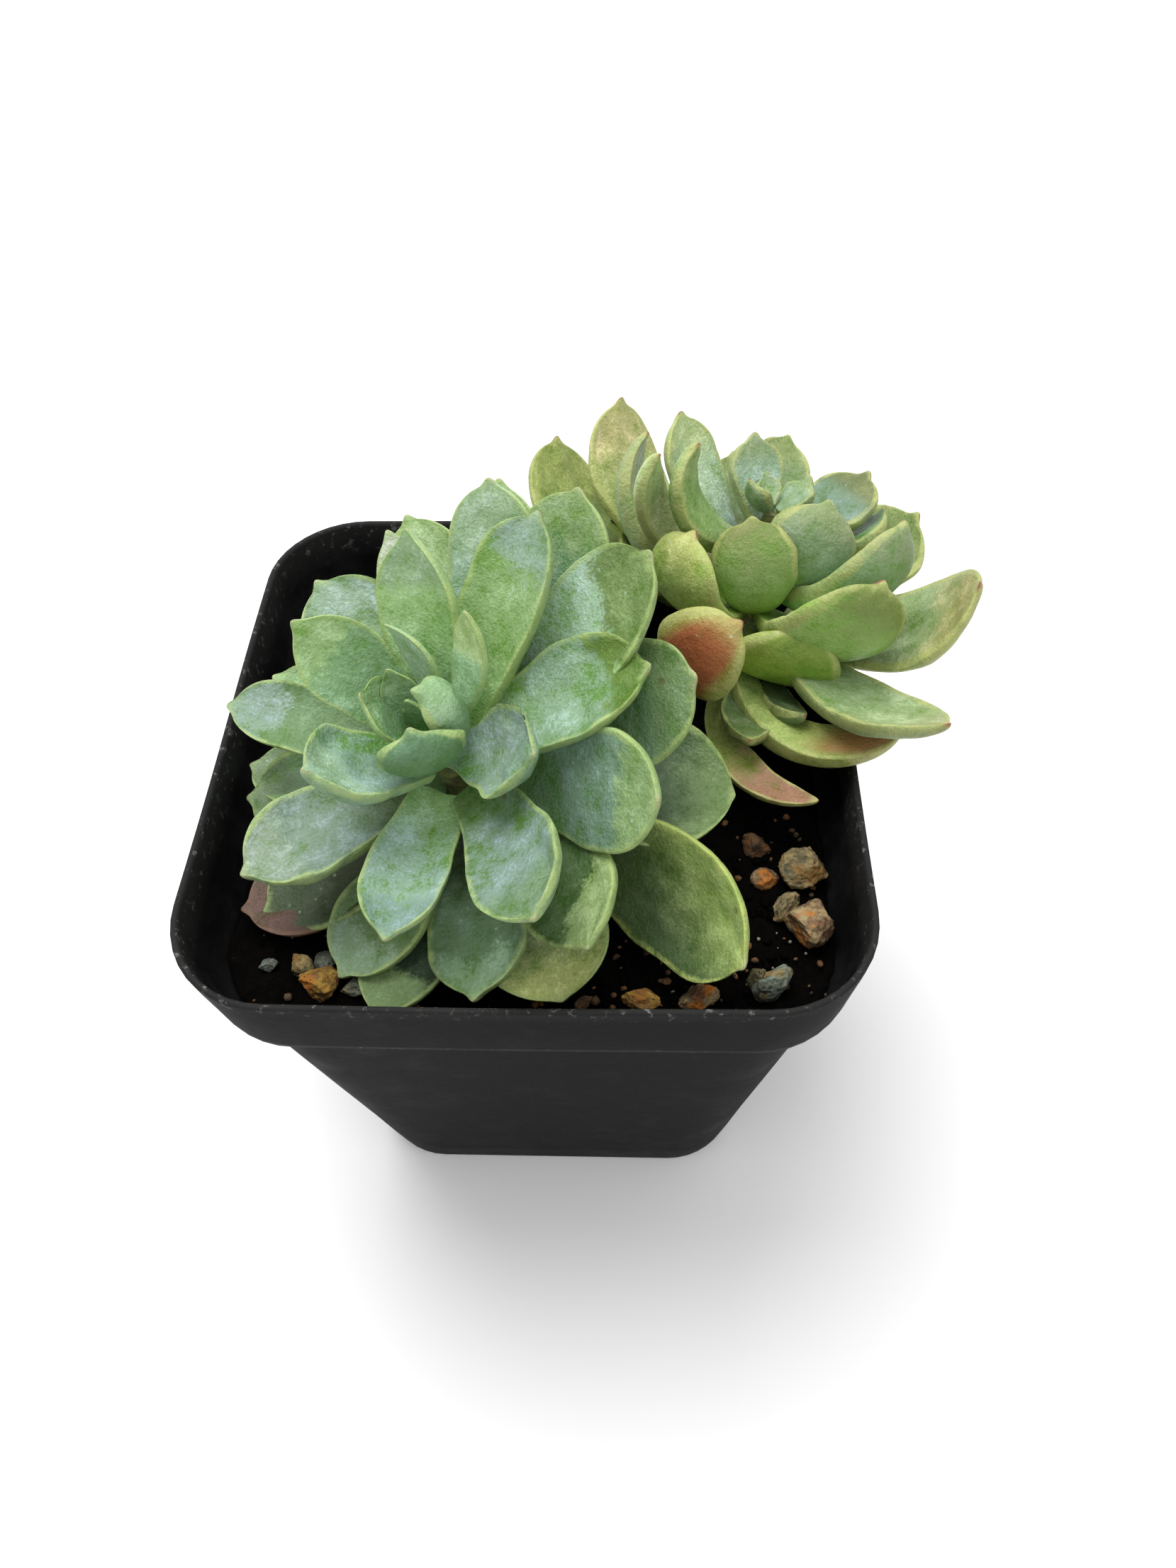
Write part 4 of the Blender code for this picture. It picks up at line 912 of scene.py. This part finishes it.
back_crown = rosette((38.0, 31.0, 114.0), 18.0, 75.0)
olive_rim = {"margin": (0.4, 0.43, 0.15), "point": (0.30, 0.13, 0.08), "tip_edge": 0.14, "mottle": 0.9,
             "margin_width": 1.1}
back_leaves = (
    ((116, 56, 13.5, 10, 3.6, 17, 4, -3, 0, 0.15, 0.6, 0.45),
     ((0.36, 0.46, 0.32), (0.29, 0.42, 0.28), (0.27, 0.36, 0.18)), {}, {}),
    ((21, 27, 17, 15, 3.6, 14, 6, 7, 2, 0.05, 0.55, 0.4),
     ((0.14, 0.21, 0.12), (0.16, 0.25, 0.17), (0.13, 0.16, 0.05)), {}, {}),
    ((-155, 14, 24, 11.5, 3.6, 82, 6, -46, -27, 0, 0.55, 0.35),
     ((0.35, 0.46, 0.22), (0.22, 0.36, 0.1), (0.27, 0.38, 0.13)), {}, {}),
    ((-3, 7, 17, 12, 3.6, 51, 8, 11, -17, 0, 0.55, 0.4),
     ((0.13, 0.24, 0.1), (0.11, 0.21, 0.08), (0.13, 0.25, 0.1)), {}, {}),
    ((83, 23, 23.5, 11, 3.6, 15, 8, -6, 20, 0.25, 0.55, 0.4),
     ((0.19, 0.25, 0.11), (0.18, 0.25, 0.12), (0.22, 0.28, 0.1)), {}, {}),
    ((148, 38, 24, 13, 3.6, 35, 9, -6, -6, 0.15, 0.5, 0.3),
     ((0.26, 0.38, 0.29), (0.37, 0.5, 0.31), (0.39, 0.49, 0.21)), {}, {}),
    ((-66, 42, 16.5, 14.5, 3.6, 80, 11, 0, -27, 0.1, 0.6, 0.4),
     ((0.24, 0.37, 0.17), (0.22, 0.3, 0.17), (0.23, 0.28, 0.12)), {"wrinkle": 0.5}, {}),
    ((-55, 5, 26.5, 12.5, 3.6, 96, 12, -2, -25, 0, 0.6, 0.4),
     ((0.29, 0.46, 0.19), (0.27, 0.43, 0.21), (0.22, 0.26, 0.14)), {}, {}),
    ((9, 14, 23, 19.5, 3.6, 32, 13, 12, 16, 0, 0.6, 0.4),
     ((0.16, 0.22, 0.05), (0.16, 0.22, 0.05), (0.15, 0.21, 0.05)), {}, {}),
    ((-101, 26, 18.5, 13.5, 3.6, 105, 14, -3, 12, 0, 0.4, 0.55),
     ((0.34, 0.46, 0.11), (0.21, 0.32, 0.11), (0.15, 0.16, 0.05)), {"wrinkle": 0.6}, {}),
    ((180, 29, 31, 8.5, 3.6, 77, 14, -5, -35, 0.05, 0.6, 0.4),
     ((0.42, 0.46, 0.18), (0.5, 0.56, 0.26), (0.44, 0.56, 0.23)), {}, {}),
    ((-133, -2, 24, 16.5, 3.6, 113, 15, -17, 0, 0, 0.4, 0.4),
     ((0.29, 0.42, 0.1), (0.4, 0.56, 0.16), (0.42, 0.5, 0.15)),
     {"wrinkle": 0.5}, {"blush_amount": 0.15, "blush_place": 1.0}),
    ((143, 5, 40.5, 19, 3.6, 79, 15, -8, 6, 0, 0.55, 0.4),
     ((0.43, 0.46, 0.19), (0.33, 0.4, 0.13), (0.56, 0.53, 0.23)), {"wrinkle": 0.6, "dent": 0.6}, {}),
    ((-74, -6, 30, 19.5, 3.6, 97, 16, 3, -21, 0.05, 0.45, 0.4),
     ((0.26, 0.42, 0.1), (0.38, 0.56, 0.18), (0.15, 0.19, 0.04)), {"dent": 0.5}, {}),
    ((-29, -1, 37, 19, 3.6, 71, 18, 8, 24, 0, 0.55, 0.45),
     ((0.25, 0.29, 0.13), (0.26, 0.35, 0.16), (0.29, 0.29, 0.1)), {"dent": 0.5}, {}),
    ((-89, -18, 23.5, 19, 3.6, 102, 19, -3, -17, 0, 0.5, 0.3),
     ((0.35, 0.46, 0.17), (0.24, 0.41, 0.02), (0.18, 0.27, 0.02)), {"dent": 0.5}, {}),
    ((158, -6, 46.5, 23.5, 3.6, 75, 17, -19, 17, 0, 0.55, 0.4),
     ((0.23, 0.29, 0.08), (0.17, 0.24, 0.04), (0.26, 0.32, 0.08)), {"dent": 0.5}, {}),
    ((155, -20, 26, 16.5, 3.6, 94, 17, -5, 34, 0, 0.4, 0.4),
     ((0.23, 0.29, 0.08), (0.17, 0.24, 0.04), (0.26, 0.32, 0.08)), {}, {}),
    ((-133, -13, 35, 15, 3.6, 127, 21, -5, -39, 0.1, 0.4, 0.45),
     ((0.28, 0.23, 0.06), (0.36, 0.44, 0.1), (0.4, 0.48, 0.13)),
     {"wrinkle": 0.5}, {"blush_amount": 1.0, "blush_place": 0.78, "blush": (0.36, 0.11, 0.04)}),
    ((-68, -15, 43.5, 15, 3.6, 46, 17, 10, -4, 0.15, 0.6, 0.3),
     ((0.25, 0.34, 0.14), (0.21, 0.3, 0.13), (0.27, 0.36, 0.15)),
     {"dent": 0.4}, {"blush_amount": 0.35, "blush_place": 1.12}),
    ((-107, -23, 43.5, 7, 5, 56, 19, 120, -17, 0.1, 0.4, 0.25),
     ((0.16, 0.25, 0.08), (0.27, 0.36, 0.09), (0.27, 0.24, 0.08)),
     {"wrinkle": 0.5}, {"blush_amount": 0.8, "blush_place": 0.92, "blush": (0.32, 0.14, 0.05)}),
    ((-119, -19, 39.5, 6, 3.4, 10, 25, 100, -4, 0.2, 0.6, 0.3),
     ((0.3, 0.4, 0.1), (0.36, 0.42, 0.12), (0.3, 0.16, 0.09)),
     {"wrinkle": 0.8, "dent": 0.6, "wave": 0.2}, {"tip_place": 0.66, "tip_edge": 0.2}),
)
back_heart = (
    ((-154, 38, 5.5, 5.5, 2.2, 12, 0, 1, 9, 0.2, 0.6, 0.4), {}),
    ((15, 31, 6.5, 9, 2.4, 29, 1, 6, -5, 0.1, 0.6, 0.4), {}),
)
back_hidden = (
    ("back_heart", (110, 53, 4.5, 4.5, 1.6, 7, 0.5, 1, 0, 0.25, 0.6, 0.4),
     ((0.33, 0.44, 0.26), (0.33, 0.44, 0.26), (0.33, 0.44, 0.26))),
    ("back_leaf_11", (169, 8, 33, 9.5, 3.6, 106, 15, -10, 8, 0.1, 0.55, 0.4),
     ((0.34, 0.45, 0.24), (0.36, 0.53, 0.24), (0.34, 0.39, 0.2))),
    ("back_leaf_05", (103, 24, 20, 10.5, 3.6, 13, 9.5, -2, 5, 0.25, 0.6, 0.4),
     ((0.19, 0.25, 0.11), (0.18, 0.25, 0.12), (0.22, 0.28, 0.1))),
    # Painted shade: these two leaves, which show only in the shade between the others, are coloured dark
    # olive for that shade.
    ("back_leaf_22", (-95, -13, 26, 9, 3.6, 28, 25, -1, 1, 0.25, 0.6, 0.4),
     ((0.07, 0.11, 0.04), (0.1, 0.16, 0.06), (0.13, 0.19, 0.07))),
    ("back_leaf_22", (-85, -16, 24.5, 6, 3.6, 45, 23, 2, -14, 0.2, 0.6, 0.35),
     ((0.07, 0.11, 0.04), (0.1, 0.16, 0.06), (0.13, 0.19, 0.07))),
)
for number, (shape, tones, form, tints) in enumerate(back_leaves, 1):
    name = f"back_leaf_{number:02d}"
    skin = leaf_skin(name + "_skin", tones, **{**olive_rim, **tints})
    plump = leaf_piece(name + "_plump", back_crown, [(shape, {"dent": 0.3, **form})], 60 + number, skin)
    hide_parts(name)
skin = leaf_skin("back_heart_skin", ((0.2, 0.3, 0.15), (0.25, 0.36, 0.22), (0.3, 0.4, 0.2)), **olive_rim)
heart_piece = leaf_piece("back_heart_plump", back_crown, back_heart, 90, skin)
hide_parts("back_heart")
for number, (neighbour, shape, tones) in enumerate(back_hidden, 1):
    name = f"back_under_{number}"
    skin = leaf_skin(name + "_skin", tones, **olive_rim)
    leaf_piece(name, back_crown, [(shape, {})], 95 + number, skin)
